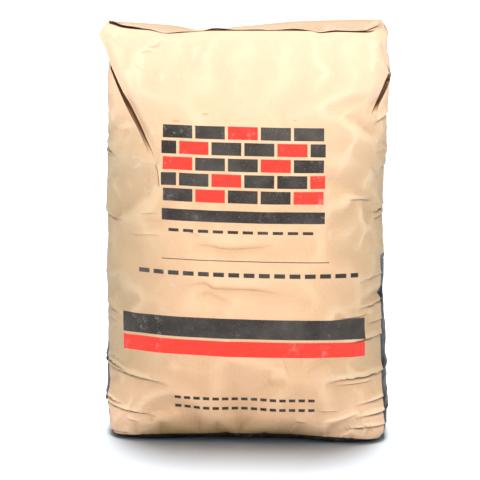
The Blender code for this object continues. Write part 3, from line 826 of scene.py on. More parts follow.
def calm_middle(relief):
    """Weight of the crumpling: weak over the middle of the panels' upper part, full at corners and foot."""
    x = np.abs(relief.tube.points[:, :, 0].ravel())
    up = relief.flat["front"][:, 1]
    edge = smooth((x - 0.10) / 0.09) * (1 - 0.75 * smooth((up - 0.47) / 0.07))
    foot = foot_crumpling(x, up, 0.16)
    beside = smooth((np.abs(relief.flat["front"][:, 0]) - 0.20) / 0.05)
    weight = 0.22 + 0.78 * np.maximum(edge, 0.7 * foot)
    return np.clip(weight, 0, 1) * (FRONT_CALM + (1 - FRONT_CALM) * beside)


# Seeds of the random draws
WRINKLE_SEED = 12
BROAD_SEED = 5
NARROW_SEED = 6

BROAD_WAVES = (0.11, 0.0026)         # (spacing, height)
NARROW_WAVES = (0.05, 0.0008)


def crease_tube(tube):
    """All creases of the tube, as its relief."""
    gather_rows(tube, FRONT_CREASES)
    relief = Relief(tube)
    for kind, size, points in FRONT_CREASES:
        shape, height, width, lean, fades = CREASE_KINDS[kind]
        relief.crease("front", points, size * height, width, shape, fades, lean)
    rng = np.random.default_rng(WRINKLE_SEED)
    corner_wrinkles(relief, rng)
    foot_wrinkles(relief, rng)
    end_wrinkles(relief, rng)
    broad_folds(relief, rng)
    weight = calm_middle(relief)
    steady = weight * steady_corners(tube.front.ravel())
    facets(relief, rng, *LARGE_FACETS, steady)
    facets(relief, rng, *SMALL_FACETS, weight)
    space = tube.points.reshape(-1, 3)
    broad = BROAD_WAVES[1] * steady * noise(space, BROAD_WAVES[0], BROAD_SEED)
    narrow = NARROW_WAVES[1] * weight * noise(space, NARROW_WAVES[0], NARROW_SEED)
    relief.height += broad + narrow
    return relief


HOLD_FOOT = 0.012         # height over which the relief grows from the floor
HOLD_RIM = 0.016          # and fades below the upper crease
FLOOR_LEVEL = 0.0016      # a leaning fold doesn't push the paper lower than this


def raise_relief(tube, relief):
    """Moves the tube's points by their relief; it fades out at the floor and at the upper crease."""
    up = tube.points[:, :, 2]
    hold = smooth(up / HOLD_FOOT) * smooth((RIM_Z + 0.004 - up) / HOLD_RIM)
    height = relief.height.reshape(relief.shape) * hold
    slide = relief.slide.reshape(*relief.shape, 2) * hold[..., None]
    across = around(tube.points, -1) - around(tube.points, 1)
    across /= -np.maximum(np.linalg.norm(across, axis=2, keepdims=True), 1e-9)
    points = tube.points + tube.normals * height[..., None] + across * slide[..., :1]
    points[:, :, 2] = np.maximum(points[:, :, 2] + slide[..., 1], np.minimum(up, FLOOR_LEVEL))
    return points, height


# Crumpling of the filled paper, by simulation

CRUMPLE_STEP = 2          # rows and columns of the tube for one of the simulated cloth
CRUMPLE_FRAMES = 20
CRUMPLE_CAP = 0.006       # furthest that a point may move
CRUMPLE_SLACK = -0.035    # share by which the loosest paper is too long for the filling, every way
CRUMPLE_SINK = 0.040      # further share by which it is too long upwards, as the filling has sunk
CRUMPLE_HOLD = 0.10       # how firmly the filling holds the paper in its place
PLEAT_HOLD = 0.016        # the paper beside a pleat stays in its place within this distance
CRUMPLE_LEVEL = 40        # rounds of smoothing that find the broad swelling, which is taken out again
CRUMPLE_CLOTH = {
    "quality": 6,
    "mass": 0.3,
    "tension_stiffness": 40.0,
    "compression_stiffness": 40.0,
    "shear_stiffness": 20.0,
    "bending_stiffness": 8.0,
    "tension_damping": 10.0,
    "compression_damping": 10.0,
    "shear_damping": 10.0,
    "bending_damping": 1.0,
    "air_damping": 3.0,
    "vertex_group_mass": "hold",
    "pin_stiffness": 1.0,
    "vertex_group_shrink": "taut",
    "shrink_min": CRUMPLE_SLACK,
    "shrink_max": 0.0,
    "use_pressure": True,
    "uniform_pressure_force": 1.0,
}


def add_object(name, data):
    """A new object in the scene."""
    made = bpy.data.objects.new(name, data)
    bpy.context.collection.objects.link(made)
    return made


def crumple_weights(points):
    """How loose the paper is: slack at the upright corners and the foot, calm over the printed middle."""
    x, up = np.abs(points[:, :, 0]), points[:, :, 2]
    edge = smooth((x - 0.11) / 0.08) * (1 - 0.55 * smooth((up - 0.46) / 0.08))
    foot = foot_crumpling(x, up, 0.17)
    top = 0.35 * smooth((up - 0.50) / 0.06)
    front = smooth((-points[:, :, 1] - 0.02) / 0.03)
    weight = 0.14 + 0.86 * np.maximum(edge, np.maximum(0.8 * foot, top))
    return np.clip(weight, 0, 1) * (1 - (1 - FRONT_CALM) * front)


def pleat_hold(points):
    """1 beside the open pleats, 0 away from them."""
    hold = np.zeros(points.shape[:2])
    for corner, pleat in PLEATS.items():
        face, side = corner.split("_")
        outwards = -1.0 if side == "left" else 1.0
        for row, z in enumerate(points[:, :, 2].mean(axis=1)):
            away = np.abs(outwards * points[row, :, 0] - pleat_x(corner, z))
            on_face = points[row, :, 1] * (-1 if face == "front" else 1) > 0
            hold[row] = np.maximum(hold[row], on_face * (away < PLEAT_HOLD) * pleat_openness(corner, z))
    return hold


def crumple_cloth(name, points, slack):
    """The tube's coarser grid as cloth, held in its place by the filling and too long for it."""
    mesh = bpy.data.meshes.new(name)
    mesh.from_pydata(points.reshape(-1, 3).tolist(), [], grid_faces(*points.shape[:2]))
    cloth = add_object(name, mesh)
    hold = np.full(points.shape[:2], CRUMPLE_HOLD)
    hold[:2] = hold[-4:] = 1.0
    hold = np.maximum(hold, pleat_hold(points))
    cloth.shape_key_add(name="flat")
    longer = cloth.shape_key_add(name="longer")
    up = points[:, :, 2]
    stretch = np.cumsum(np.diff(up, axis=0, prepend=0.0) * (1 + CRUMPLE_SINK * slack), axis=0)
    uncut = points.copy()
    uncut[:, :, 2] = stretch
    longer.data.foreach_set("co", uncut.ravel())
    for group_name, weights in (("hold", hold), ("taut", 1 - slack)):
        group = cloth.vertex_groups.new(name=group_name)
        for k, weight in enumerate(weights.ravel()):
            group.add([k], float(weight), "REPLACE")
    settings = cloth.modifiers.new("crumple", "CLOTH").settings
    for setting, value in CRUMPLE_CLOTH.items():
        setattr(settings, setting, value)
    settings.effector_weights.gravity = 0.0
    settings.rest_shape_key = longer
    return cloth


def evened(values, rounds):
    """A grid's values, smoothed over many cells."""
    for _ in range(rounds):
        values = (around(values, 1) + 2 * values + around(values, -1)) / 4
        padded = np.concatenate([values[:1], values, values[-1:]])
        values = (padded[:-2] + 2 * values + padded[2:]) / 4
    return values


def crumple(points, normals, steady):
    """Moves the tube's points as the simulated paper crumples between the sack's folds, without swelling."""
    rows, columns = points.shape[:2]
    picked = np.unique(np.round(np.linspace(0, rows - 1, rows // CRUMPLE_STEP)).astype(int))
    start = points[picked][:, ::CRUMPLE_STEP]
    cloth = crumple_cloth("crumple", start, crumple_weights(start))
    for number in range(1, CRUMPLE_FRAMES + 1):
        bpy.context.scene.frame_set(number)
    settled = cloth.evaluated_get(bpy.context.evaluated_depsgraph_get()).data
    end = np.zeros(start.size, np.float32)
    settled.vertices.foreach_get("co", end)
    bpy.data.objects.remove(cloth)
    bpy.context.scene.frame_set(1)
    move = end.reshape(start.shape) - start
    outward = normals[picked][:, ::CRUMPLE_STEP]
    move -= outward * evened((move * outward).sum(axis=-1), CRUMPLE_LEVEL)[..., None]
    move *= steady[picked][:, ::CRUMPLE_STEP, None]
    far = np.linalg.norm(move, axis=2, keepdims=True)
    move *= CRUMPLE_CAP * np.tanh(far / CRUMPLE_CAP) / np.maximum(far, 1e-9)
    at_row = np.interp(np.arange(rows), picked, np.arange(len(picked)))
    at_column = np.arange(columns) / CRUMPLE_STEP
    return points + read_grid(move, *np.meshgrid(at_row, at_column, indexing="ij"))


# Meshes

END_PULL = 0.07           # share of the end's width over which its edges draw the rows


def lay_end(ring):
    """A grid over the flat end, from front to back and from right to left, and where shade is painted in its
    slit.
    """
    index = np.full((SIDE_POINTS + 2, PANEL_POINTS), -1)
    index[0] = np.arange(PANEL_POINTS)
    index[-1] = np.arange(BACK_START, BACK_START + PANEL_POINTS)[::-1]
    index[1:-1, -1] = np.arange(LEFT_START, LEFT_START + SIDE_POINTS)
    index[1:-1, 0] = np.arange(RIGHT_START, RIGHT_START + SIDE_POINTS)[::-1]
    net = np.zeros((*index.shape, 3))
    net[index >= 0] = ring[index[index >= 0]]
    shares = PANEL_SHARES[None, :, None]
    rows = np.linspace(0, 1, SIDE_POINTS + 2)[:, None, None]
    depth = net[-1] - net[0]
    own = [np.clip((net[:, c, 1] - net[0, c, 1]) / depth[c, 1], 0, 1)[:, None, None] for c in (0, -1)]
    pulls = [smooth(1 - shares / END_PULL), smooth(1 - (1 - shares) / END_PULL)]
    share = rows + pulls[0] * (own[0] - rows) + pulls[1] * (own[1] - rows)
    points = net[0] * (1 - share) + net[-1] * share
    for column, pull, at in ((0, pulls[0], own[0]), (-1, pulls[1], own[1])):
        straight = net[0, column] * (1 - at[:, 0]) + net[-1, column] * at[:, 0]
        points = points + pull * (net[:, column] - straight)[:, None, :]
    points[0], points[-1] = net[0], net[-1]
    points[:, 0], points[:, -1] = net[:, 0], net[:, -1]
    return index, points, add_end_relief(points)


def add_end_relief(points):
    """The lip along the front crease, the slit behind it, and the end sagging up to the back crease; returns
    where shade is painted in the slit.
    """
    from_ear = np.minimum(PANEL_SHARES, 1 - PANEL_SHARES)
    inward = smooth((from_ear - EAR_SHARE / 3) / EAR_SHARE)
    inward[0] = inward[-1] = 0.0
    front, back = points[0].copy(), points[-1].copy()
    width = through(SLIT, 1, front[:, 0])
    rise = SLIT_RISE * np.maximum(width - SLIT_THIN, 0)
    near, far = np.zeros_like(width) + LIP, LIP + width
    # rows over the lip and through the slit: (distance behind the crease, height over it)
    profile_rows = [
        (0.5 * near, 0.0004),
        (near, -0.0002),
        (near + 0.0004, -0.5 * GROOVE_DEPTH),
        (near + 0.0008, -GROOVE_DEPTH),
        (far - 0.0010, -GROOVE_DEPTH),
        (far - 0.0003, rise - 0.0006),
    ]
    for row, (offset, drop) in enumerate(profile_rows, start=1):
        own = front + np.stack([np.zeros_like(width), offset, np.zeros_like(width) + drop], axis=1)
        points[row] += inward[:, None] * (own - points[row])
    start_row, last_row = len(profile_rows) + 1, len(points) - 1
    start = front + np.stack([np.zeros_like(width), far, rise], axis=1)
    for row in range(start_row, last_row):
        share = (row - start_row) / (last_row - start_row)
        own = start * (1 - share) + back * share
        own[:, 2] -= END_SAG * 4 * share * (1 - share)
        points[row] += inward[:, None] * (own - points[row])
    # painted shade in the slit, fading out towards its two ends
    shade = smooth((from_ear - SLIT_END) / 0.01)
    slit = np.zeros(points.shape[:2])
    slit[3:start_row] = SLIT_SHADE * shade
    slit[start_row] = 0.5 * shade
    return slit


def close_end(faces, vertices, index, points, ring_start):
    """Adds an end's inner points and its faces to the tube. A corner's face takes in its pleat's fold."""
    own = np.where(index >= 0, index + ring_start, -1)
    own[index < 0] = len(vertices) + np.arange(np.count_nonzero(index < 0))
    vertices.extend(points[index < 0])
    last_row, last_column = SIDE_POINTS, PANEL_POINTS - 2
    # (corner of the sack, after how many of the face's own points its fold comes)
    corners = {
        (0, last_column): ("front_left", 2),
        (last_row, last_column): ("back_left", 2),
        (last_row, 0): ("back_right", 3),
        (0, 0): ("front_right", 4),
    }
    for row in range(last_row + 1):
        for column in range(last_column + 1):
            face = [own[row, column], own[row, column + 1], own[row + 1, column + 1], own[row + 1, column]]
            if (row, column) in corners:
                corner, after = corners[row, column]
                first = ring_start + FOLD_STARTS[corner]
                face[after:after] = range(first, first + FOLD_POINTS)
            faces.append(face)


def mesh_object(name, vertices, faces, material, sharp=55):
    """An object from points and faces, shaded smooth but for its sharp creases."""
    mesh = bpy.data.meshes.new(name)
    mesh.from_pydata(np.asarray(vertices, float).tolist(), [], [tuple(int(k) for k in f) for f in faces])
    mesh.validate()
    body = bmesh.new()
    body.from_mesh(mesh)
    bmesh.ops.recalc_face_normals(body, faces=body.faces)
    if body.calc_volume(signed=True) < 0:
        bmesh.ops.reverse_faces(body, faces=body.faces)
    body.to_mesh(mesh)
    body.free()
    mesh.shade_smooth()
    mesh.set_sharp_from_angle(angle=math.radians(sharp))
    mesh.materials.append(material)
    return add_object(name, mesh)


def store(piece, name, values):
    """Keeps one number or one vector for each point of a mesh, for its material."""
    values = np.asarray(values, np.float32)
    kind = "FLOAT" if values.ndim == 1 else "FLOAT_VECTOR"
    attribute = piece.data.attributes.new(name, kind, "POINT")
    attribute.data.foreach_set("value" if values.ndim == 1 else "vector", values.ravel())


def curl(height):
    """How far each point of the relief stands over its neighbours."""
    mean = (around(height, 1) + around(height, -1)) / 2
    rows = height.copy()
    rows[1:-1] = (height[2:] + height[:-2]) / 2
    return height - (mean + rows) / 2


STAND_LEVEL = 30          # rounds of smoothing that find the surroundings of a fold
MILLIMETRES = 1000
END_AWAY = 0.3            # the end's paper counts as this far from the front's middle
END_LOOSE = 0.3           # and as this loose


def make_skin(material):
    """The creased paper skin with both ends."""
    tube = Tube()
    relief = crease_tube(tube)
    raised, height = raise_relief(tube, relief)
    points = crumple(raised, tube.normals, steady_corners(tube.front))
    height = height + ((points - raised) * tube.normals).sum(axis=-1)
    rows, columns = points.shape[:2]
    faces = grid_faces(rows, columns)
    vertices = list(points.reshape(-1, 3))
    faces.append(range(columns))
    index, top, slit = lay_end(points[-1])
    close_end(faces, vertices, index, top, (rows - 1) * columns)
    skin = mesh_object("sack_skin", vertices, faces, material)
    ends = np.array(vertices[rows * columns:])
    extra = len(ends)
    paper = np.stack([np.abs(tube.front), tube.points[:, :, 0], tube.points[:, :, 2]], axis=-1).reshape(-1, 3)
    end_paper = np.stack([np.full(extra, END_AWAY), ends[:, 0], ends[:, 2]], axis=-1)
    store(skin, "paper", np.concatenate([paper, end_paper]))
    store(skin, "crease", np.concatenate([curl(height).ravel() * MILLIMETRES, np.zeros(extra)]))
    # where shade is painted: inside the open pleats and the slit
    store(skin, "inside", np.concatenate([tube.inside.ravel(), slit[index < 0]]))
    stand = (height - evened(height, STAND_LEVEL)) * MILLIMETRES
    store(skin, "stand", np.concatenate([stand.ravel(), np.zeros(extra)]))
    # where the shadow under the folds is painted
    store(skin, "fold_shadow", np.concatenate([relief.fold_shadow, np.zeros(extra)]))
    store(skin, "loose", np.concatenate([crumple_weights(tube.points).ravel(), np.full(extra, END_LOOSE)]))
    return skin, top


# Materials

class Value:
    """What one node gives. Further nodes make its sums, products and mixes; | is the larger of two."""

    def __init__(self, graph, socket):
        self.graph = graph
        self.socket = socket

    def __add__(self, other):
        return self.graph.math("ADD", self, other)

    def __radd__(self, other):
        return self.graph.math("ADD", other, self)

    def __sub__(self, other):
        return self.graph.math("SUBTRACT", self, other)

    def __rsub__(self, other):
        return self.graph.math("SUBTRACT", other, self)

    def __mul__(self, other):
        return self.graph.math("MULTIPLY", self, other)

    def __mod__(self, other):
        return self.graph.math("MODULO", self, other)

    def __or__(self, other):
        return self.graph.math("MAXIMUM", self, other)

    def __neg__(self):
        return self * -1.0

    def __abs__(self):
        return self.graph.math("ABSOLUTE", self)

    def __floor__(self):
        return self.graph.math("FLOOR", self)

    def fraction(self):
        """What is left of a number over its whole part."""
        return self.graph.math("FRACT", self)

    def squared(self):
        return self.graph.math("POWER", abs(self), 2.0)

    def step(self, at, soft):
        """0 below a level and 1 above it, over a soft width."""
        return self.graph.math("ADD", (self - at) * (1 / soft), 0.5, clamp=True)

    def band(self, low, high, soft):
        """1 between two levels and 0 outside them."""
        return self.step(low, soft) * (1.0 - self.step(high, soft))

    def between(self, first, second):
        """The number or the colour between two others at this share."""
        return self.graph.mix("RGBA" if isinstance(first, tuple) else "FLOAT", self, first, second)

    def to(self, other, share):
        """This colour, moved towards another by a share."""
        return self.graph.mix("RGBA", share, self, other)


class Graph:
    """The shader nodes of one material, wired by calls."""

    def __init__(self, name):
        self.material = bpy.data.materials.new(name)
        self.material.use_nodes = True
        self.tree = self.material.node_tree
        self.shader = self.tree.nodes["Principled BSDF"]
        self.place = self.node("TexCoord", {}, "Object")

    def wire(self, value, socket):
        """Joins a value to an input, or sets the input to a number or a colour."""
        if isinstance(value, Value):
            self.tree.links.new(value.socket, socket)
        else:
            socket.default_value = value

    def node(self, kind, inputs, output=0, **settings):
        """What a new node gives, from its inputs and its settings."""
        made = self.tree.nodes.new(f"ShaderNode{kind}")
        for name, value in settings.items():
            setattr(made, name, value)
        for name, value in inputs.items():
            self.wire(value, made.inputs[name])
        return Value(self, made.outputs[output])

    def math(self, operation, first, second=0.0, clamp=False):
        return self.node("Math", {0: first, 1: second}, operation=operation, use_clamp=clamp)

    def mix(self, kind, share, first, second):
        return self.node("Mix", {"Factor": share, "A": first, "B": second}, "Result", data_type=kind)

    def attribute(self, name, output="Fac"):
        return self.node("Attribute", {}, output, attribute_name=name)

    def stretched(self, x, y, z):
        """Object coordinates scaled along each axis."""
        return self.node("Mapping", {"Vector": self.place, "Scale": (x, y, z)}, "Vector")

    def noise(self, scale, detail=2.0, rough=0.5, at=None):
        place = self.place if at is None else at
        inputs = {"Vector": place, "Scale": scale, "Detail": detail, "Roughness": rough}
        return self.node("TexNoise", inputs, "Fac")

    def cells(self, scale, at):
        return self.node("TexVoronoi", {"Vector": at, "Scale": scale}, "Distance")

    def warped(self, place, scale, reach):
        """Coordinates pushed about by noise, so that a pattern's lines aren't straight."""
        push = self.node("TexNoise", {"Vector": place, "Scale": scale}, "Color")
        inputs = {0: push, 1: (reach, reach, reach), 2: place}
        return self.node("VectorMath", inputs, operation="MULTIPLY_ADD")

    def parts(self, vector):
        """The three parts of a vector."""
        made = self.tree.nodes.new("ShaderNodeSeparateXYZ")
        self.wire(vector, made.inputs[0])
        return [Value(self, output) for output in made.outputs]

    def finish(self, colour, rough, height, strength=1.0, distance=1.0):
        """Gives the shader its colour, its roughness and the bumps of a height, and returns the material."""
        self.wire(colour, self.shader.inputs["Base Color"])
        self.wire(rough, self.shader.inputs["Roughness"])
        bump = self.node("Bump", {"Strength": strength, "Distance": distance, "Height": height}, "Normal")
        self.wire(bump, self.shader.inputs["Normal"])
        return self.material


KRAFT_LIGHT = (0.734, 0.440, 0.248, 1.0)
KRAFT_DARK = (0.612, 0.360, 0.195, 1.0)
KRAFT_PINK = (0.720, 0.425, 0.262, 1.0)
DARK_SPECK = (0.34, 0.20, 0.10, 1.0)
PALE_SPECK = (0.86, 0.68, 0.48, 1.0)
CREASE_SHADE = (0.30, 0.17, 0.08, 1.0)
RIDGE_HIGHLIGHT = (0.930, 0.690, 0.450, 1.0)
HOLLOW_SHADE = (0.430, 0.250, 0.125, 1.0)
SCUFFED = (0.560, 0.230, 0.070, 1.0)
FOLD_SHADOW_COLOUR = (0.070, 0.032, 0.014, 1.0)
PAINTED_PLEAT_SHADE = (0.240, 0.118, 0.042, 1.0)
PAINTED_SLIT_SHADE = (0.060, 0.022, 0.010, 1.0)
INK_DARK = (0.020, 0.014, 0.011, 1.0)
INK_PALE = (0.045, 0.035, 0.028, 1.0)
INK_PAINTED_SHEEN = (0.105, 0.092, 0.078, 1.0)
INK_BLACK = (0.010, 0.009, 0.008, 1.0)
INK_GREY = (0.028, 0.026, 0.024, 1.0)
SOLE_GREY = (0.05, 0.045, 0.04, 1.0)
INK_RED = (0.720, 0.034, 0.018, 1.0)
DUST = (0.62, 0.58, 0.52, 1.0)
LIT_PALE = (0.862, 0.588, 0.400, 1.0)
SIDE_SHADE = (0.380, 0.268, 0.150, 1.0)
FOOT_SHADE = (0.155, 0.090, 0.013, 1.0)
STRIP_COLOURS = ((0.760, 0.525, 0.340, 1), (0.860, 0.610, 0.405, 1))
SLEEVE_COLOURS = ((0.740, 0.505, 0.320, 1), (0.840, 0.590, 0.385, 1))
FLOOR_COLOURS = ((0.80, 0.860, 0.920, 1), (0.82, 0.880, 0.940, 1))

# Borders of the painted light and shade: (place, soft width), in metres
MIDDLE_EDGE = (0.125, 0.07)       # from the middle line of the print, inside which folds get little painted highlight and shade
LIT_TOP_FROM = (0.530, 0.22)         # height over which painted light makes the upper part paler
LIT_FOOT_TO = (0.045, 0.05)          # height up to which painted light makes the foot paler beside its middle
SIDE_SHADE_BESIDE = (0.152, 0.12)      # along the paper from the middle
SIDE_SHADE_FROM = (0.085, 0.09)
SIDE_SHADE_TO = (0.475, 0.10)
FOOT_SHADE_EDGE = (0.122, 0.06)          # from the middle of the foot
FOOT_SHADE_TO = (0.025, 0.034)


def beside_middle(x):
    """1 beside the middle of the panels, 0 over it."""
    return abs(x + 0.015).step(*MIDDLE_EDGE)


def kraft_colour(graph, crease, x):
    """Brown sack paper: clouds, fibres and specks, with painted highlight on its raised folds and painted
    shade in its creases and hollows.
    """
    cloud = graph.noise(9.0, 4.0, 0.6)
    fibre = graph.noise(520.0, 3.0, 0.7, graph.stretched(1.0, 1.0, 0.35))
    colour = (cloud * 0.6 + fibre * 0.45).step(0.52, 0.45).between(KRAFT_DARK, KRAFT_LIGHT)
    colour = colour.to(KRAFT_PINK, graph.noise(17.0, 2.0, 0.5).step(0.52, 0.20) * 0.35)
    colour = colour.to(DARK_SPECK, graph.noise(1500.0, 1.0, 0.5).step(0.70, 0.06) * 0.35)
    colour = colour.to(PALE_SPECK, graph.noise(1100.0, 1.0, 0.5).step(0.71, 0.06) * 0.30)
    # painted shade down in the creases
    colour = colour.to(CREASE_SHADE, (-crease).step(0.16, 0.35) * 0.35)
    stand, beside = graph.attribute("stand"), beside_middle(x)
    # painted highlight on raised folds, painted shade in the hollows beside them
    ridge_highlight = stand.step(0.50, 0.80) * beside.between(0.20, 0.60)
    hollow_shade = (-stand).step(0.50, 0.80) * beside.between(0.20, 0.32)
    return colour.to(RIDGE_HIGHLIGHT, ridge_highlight).to(HOLLOW_SHADE, hollow_shade)


def lit_and_shaded(graph, colour, turn, x, z):
    """Painted light on the upper part and on the foot beside its middle; painted shade on the upright corners
    and along the foot, darkest in its middle.
    """
    # painted light: the upper part, which tilts up towards the lamps, is painted paler
    lit_top = (z + graph.noise(5.0, 4.0, 0.6) * 0.10).step(*LIT_TOP_FROM)
    colour = colour.to(LIT_PALE, lit_top * 0.62)
    patchy = graph.noise(30.0, 5.0, 0.6)
    # painted shade on the upright corners, where the paper turns away from the lamps
    side = (turn + patchy * 0.03 - x * 0.05).step(*SIDE_SHADE_BESIDE)
    upright = z.step(*SIDE_SHADE_FROM)
    upper = 1.0 - z.step(*SIDE_SHADE_TO)
    colour = colour.to(SIDE_SHADE, side * upright * (upper * 0.80))
    # painted light on the foot's corners beside its middle, which face upwards
    lit_foot = beside_middle(x) * (1.0 - (z - patchy * 0.04).step(*LIT_FOOT_TO))
    colour = colour.to(LIT_PALE, lit_foot * 0.42)
    # painted shade along the foot, strongest over its middle, where the paper rolls under
    centre = 1.0 - abs(x + 0.023).step(*FOOT_SHADE_EDGE)
    low = 1.0 - (z - patchy * 0.008).step(*FOOT_SHADE_TO)
    return colour.to(FOOT_SHADE, low * (0.12 + centre * 0.88) * 0.92)


# Small rubbed places over the print: (distance from the middle, height, half width, half height)
SCUFFS = (
    (-0.0990, 0.4805, 0.0078, 0.0024),
    (-0.0560, 0.4915, 0.0064, 0.0022),
    (0.0720, 0.4830, 0.0030, 0.0012),
)


def scuffed(graph, colour, x, z):
    """The paper's small orange-brown scuffs."""
    for middle, height, half_width, half_height in SCUFFS:
        across = ((x - middle) * (1 / half_width)).squared()
        up = ((z - height) * (1 / half_height)).squared()
        spot = 1.0 - (across + up + graph.noise(900.0)).step(1.0, 0.8)
        colour = colour.to(SCUFFED, spot * 0.65)
    return colour


PRINT_EDGE = 0.0005       # softness of the print's edges
PRINT_TILT = 0.017        # how much the print rises towards the left

# The panel of bricks, in metres, and how many it has each way
BRICKS_LEFT = -0.120
BRICKS_BOTTOM = 0.362
BRICK_LENGTH = 0.047
BRICK_HEIGHT = 0.0228
BRICK_JOINT = 0.0042
BRICK_COUNT = 5

# Plain printed shapes: (left, right, bottom, top), and for a row of dashes also their pitch and the share of
# it that they fill
DARK_SHAPES = (
    (-0.1200, 0.1150, 0.3360, 0.3530),
    (-0.1100, 0.1050, 0.3200, 0.3245, 0.0215, 0.70),
    (-0.1200, 0.1220, 0.2790, 0.2802),
    (-0.1550, 0.1640, 0.2560, 0.2625, 0.0220, 0.72),
    (-0.1800, 0.1760, 0.1640, 0.1940),
    (-0.1035, 0.1080, 0.0690, 0.0735, 0.0141, 0.68),
    (-0.1035, 0.1080, 0.0540, 0.0585, 0.0141, 0.68),
)
RED_BAR = (-0.1800, 0.1760, 0.1370, 0.1600)


def printed(x, z, left, right, bottom, top, pitch=None, share=None):
    """A plain rectangle, or with a pitch a row of them."""
    shape = x.band(left, right, PRINT_EDGE) * z.band(bottom, top, PRINT_EDGE)
    if pitch is None:
        return shape
    along = ((x - left) * (1 / pitch)).fraction() * pitch
    return shape * along.band(0.0, pitch * share, PRINT_EDGE)


def bricks(x, z):
    """A panel of bricks in running bond: which places are brick, and which bricks are red."""
    course = math.floor((z - BRICKS_BOTTOM) * (1 / BRICK_HEIGHT))
    along = (x - BRICKS_LEFT) * (1 / BRICK_LENGTH) + course % 2.0 * 0.5
    number = math.floor(along)
    inside_x = (along - number) * BRICK_LENGTH
    inside_z = z - BRICKS_BOTTOM - course * BRICK_HEIGHT
    half = BRICK_JOINT / 2
    brick = inside_x.band(half, BRICK_LENGTH - half, PRINT_EDGE)
    brick *= inside_z.band(half, BRICK_HEIGHT - half, PRINT_EDGE)
    right, top = BRICKS_LEFT + BRICK_COUNT * BRICK_LENGTH, BRICKS_BOTTOM + BRICK_COUNT * BRICK_HEIGHT
    panel = printed(x, z, BRICKS_LEFT, right, BRICKS_BOTTOM, top)
    every_third = (number + course * 2.0 + 30.0) % 3.0
    return brick * panel, every_third.band(0.5, 1.5, 0.1)


def front_print(x, z):
    """The front's printed shapes: dark ones, red ones."""
    level = z + x * PRINT_TILT
    brick, red_brick = bricks(x, level)
    dark, red = brick * (1.0 - red_brick), brick * red_brick
    for shape in DARK_SHAPES:
        dark = dark | printed(x, level, *shape)
    return dark, red | printed(x, level, *RED_BAR)


def black_print(graph, turn, x, z):
    """The black over the back's and the sides' lower part, up to a slanting edge, and over the bottom end."""
    left = (-x).step(0.0, 0.01)
    edge = 0.2120 + left * 0.0080 + graph.noise(16.0) * 0.004
    below_slant = (0.212 + x * 0.34 - z).step(0.0, 0.0010)
    middle = 1.0 - (x * 5.0).squared()
    sole = 1.0 - z.step(0.0048 + middle * 0.0115, 0.0010)
    return turn.step(edge, 0.0010) * below_slant | sole


def fine_relief(graph):
    """Height in metres of what is finer than the mesh: facets where the paper is loose, and its grain."""
    warped = graph.warped(graph.stretched(1.0, 1.0, 1.5), 30.0, 0.006)
    facet = graph.cells(55.0, warped) * 0.0016 + graph.cells(115.0, warped) * 0.0007
    grain = graph.noise(38.0, 3.0, 0.5) * 0.0010 + graph.noise(700.0, 4.0, 0.6) * 0.00012
    return facet * graph.attribute("loose") + grain


def make_skin_material():
    """Kraft paper with its dirt and its print, painted shadow under its folds, painted sheen on its ink, and
    painted shade inside the pleats and the slit.
    """
    graph = Graph("kraft_print")
    turn, x, z = graph.parts(graph.attribute("paper", "Vector"))
    crease, fold_shadow, inside = (graph.attribute(name) for name in ("crease", "fold_shadow", "inside"))
    on_front = 1.0 - turn.step(0.20, 0.002)
    colour = lit_and_shaded(graph, kraft_colour(graph, crease, x), turn, x, z)
    colour = colour.to(scuffed(graph, colour, x, z), on_front)
    dark, red = (shape * on_front for shape in front_print(x, z))
    black = black_print(graph, turn, x, z)
    lost = graph.noise(900.0, 2.0, 0.6).step(0.68, 0.05)
    worn = crease.step(0.80, 0.50)
    kept = 1.0 - (lost * 0.45 | worn * 0.22)
    cloudy = graph.noise(26.0, 5.0, 0.65)
    # painted sheen: pale patches in the dark ink stand in for the lamps' reflection
    painted_sheen = graph.noise(11.0, 3.0, 0.6, graph.warped(graph.place, 6.0, 0.05)).step(0.60, 0.30)
    ink_dark = cloudy.step(0.55, 0.30).between(INK_DARK, INK_PALE).to(INK_PAINTED_SHEEN, painted_sheen * 0.6)
    ink_black = cloudy.step(0.60, 0.25).between(INK_BLACK, INK_GREY)
    colour = colour.to(ink_dark, dark * kept).to(INK_RED, red * kept)
    # painted shadow under the folds' lips, then the black print over it
    colour = colour.to(FOLD_SHADOW_COLOUR, fold_shadow * 0.80).to(ink_black, black * kept)
    powder = graph.noise(60.0, 6.0, 0.75).step(0.62, 0.12) * graph.noise(7.0).step(0.55, 0.2)
    colour = colour.to(DUST, powder * 0.35)
    # painted shade inside the pleats and, darker still, inside the slit
    colour = colour.to(PAINTED_PLEAT_SHADE, inside.step(0.45, 0.5) * 0.92).to(PAINTED_SLIT_SHADE, inside.step(1.20, 0.5))
    inked = dark | red | black
    graph.wire(inked.between(0.50, 0.30), graph.shader.inputs["Specular IOR Level"])
    return graph.finish(colour, inked.between(0.66, 0.52) + (cloudy - 0.5) * 0.25, fine_relief(graph))


def make_plain_paper(name, colours):
    """Unprinted paper of the strip and the sleeve."""
    graph = Graph(name)
    cloud = graph.noise(22.0, 4.0, 0.6)
    fibre = graph.noise(560.0, 3.0, 0.7)
    colour = (cloud * 0.6 + fibre * 0.45).step(0.52, 0.4).between(*colours)
    powder = graph.noise(45.0, 6.0, 0.75).step(0.56, 0.16)
    height = fibre * 0.3 + graph.noise(120.0, 3.0)
    return graph.finish(colour.to(DUST, powder * 0.16), 0.62 + cloud * 0.2, height, 0.30, 0.0010)


def make_dark_paper():
    """Dark printed paper of the bottom strip."""
    graph = Graph("dark_print")
    cloud = graph.noise(30.0, 5.0, 0.65)
    colour = cloud.step(0.58, 0.3).between(INK_BLACK, SOLE_GREY)
    return graph.finish(colour, 0.38 + cloud * 0.3, graph.noise(300.0, 4.0), 0.3, 0.0006)


# The end strip and the valve

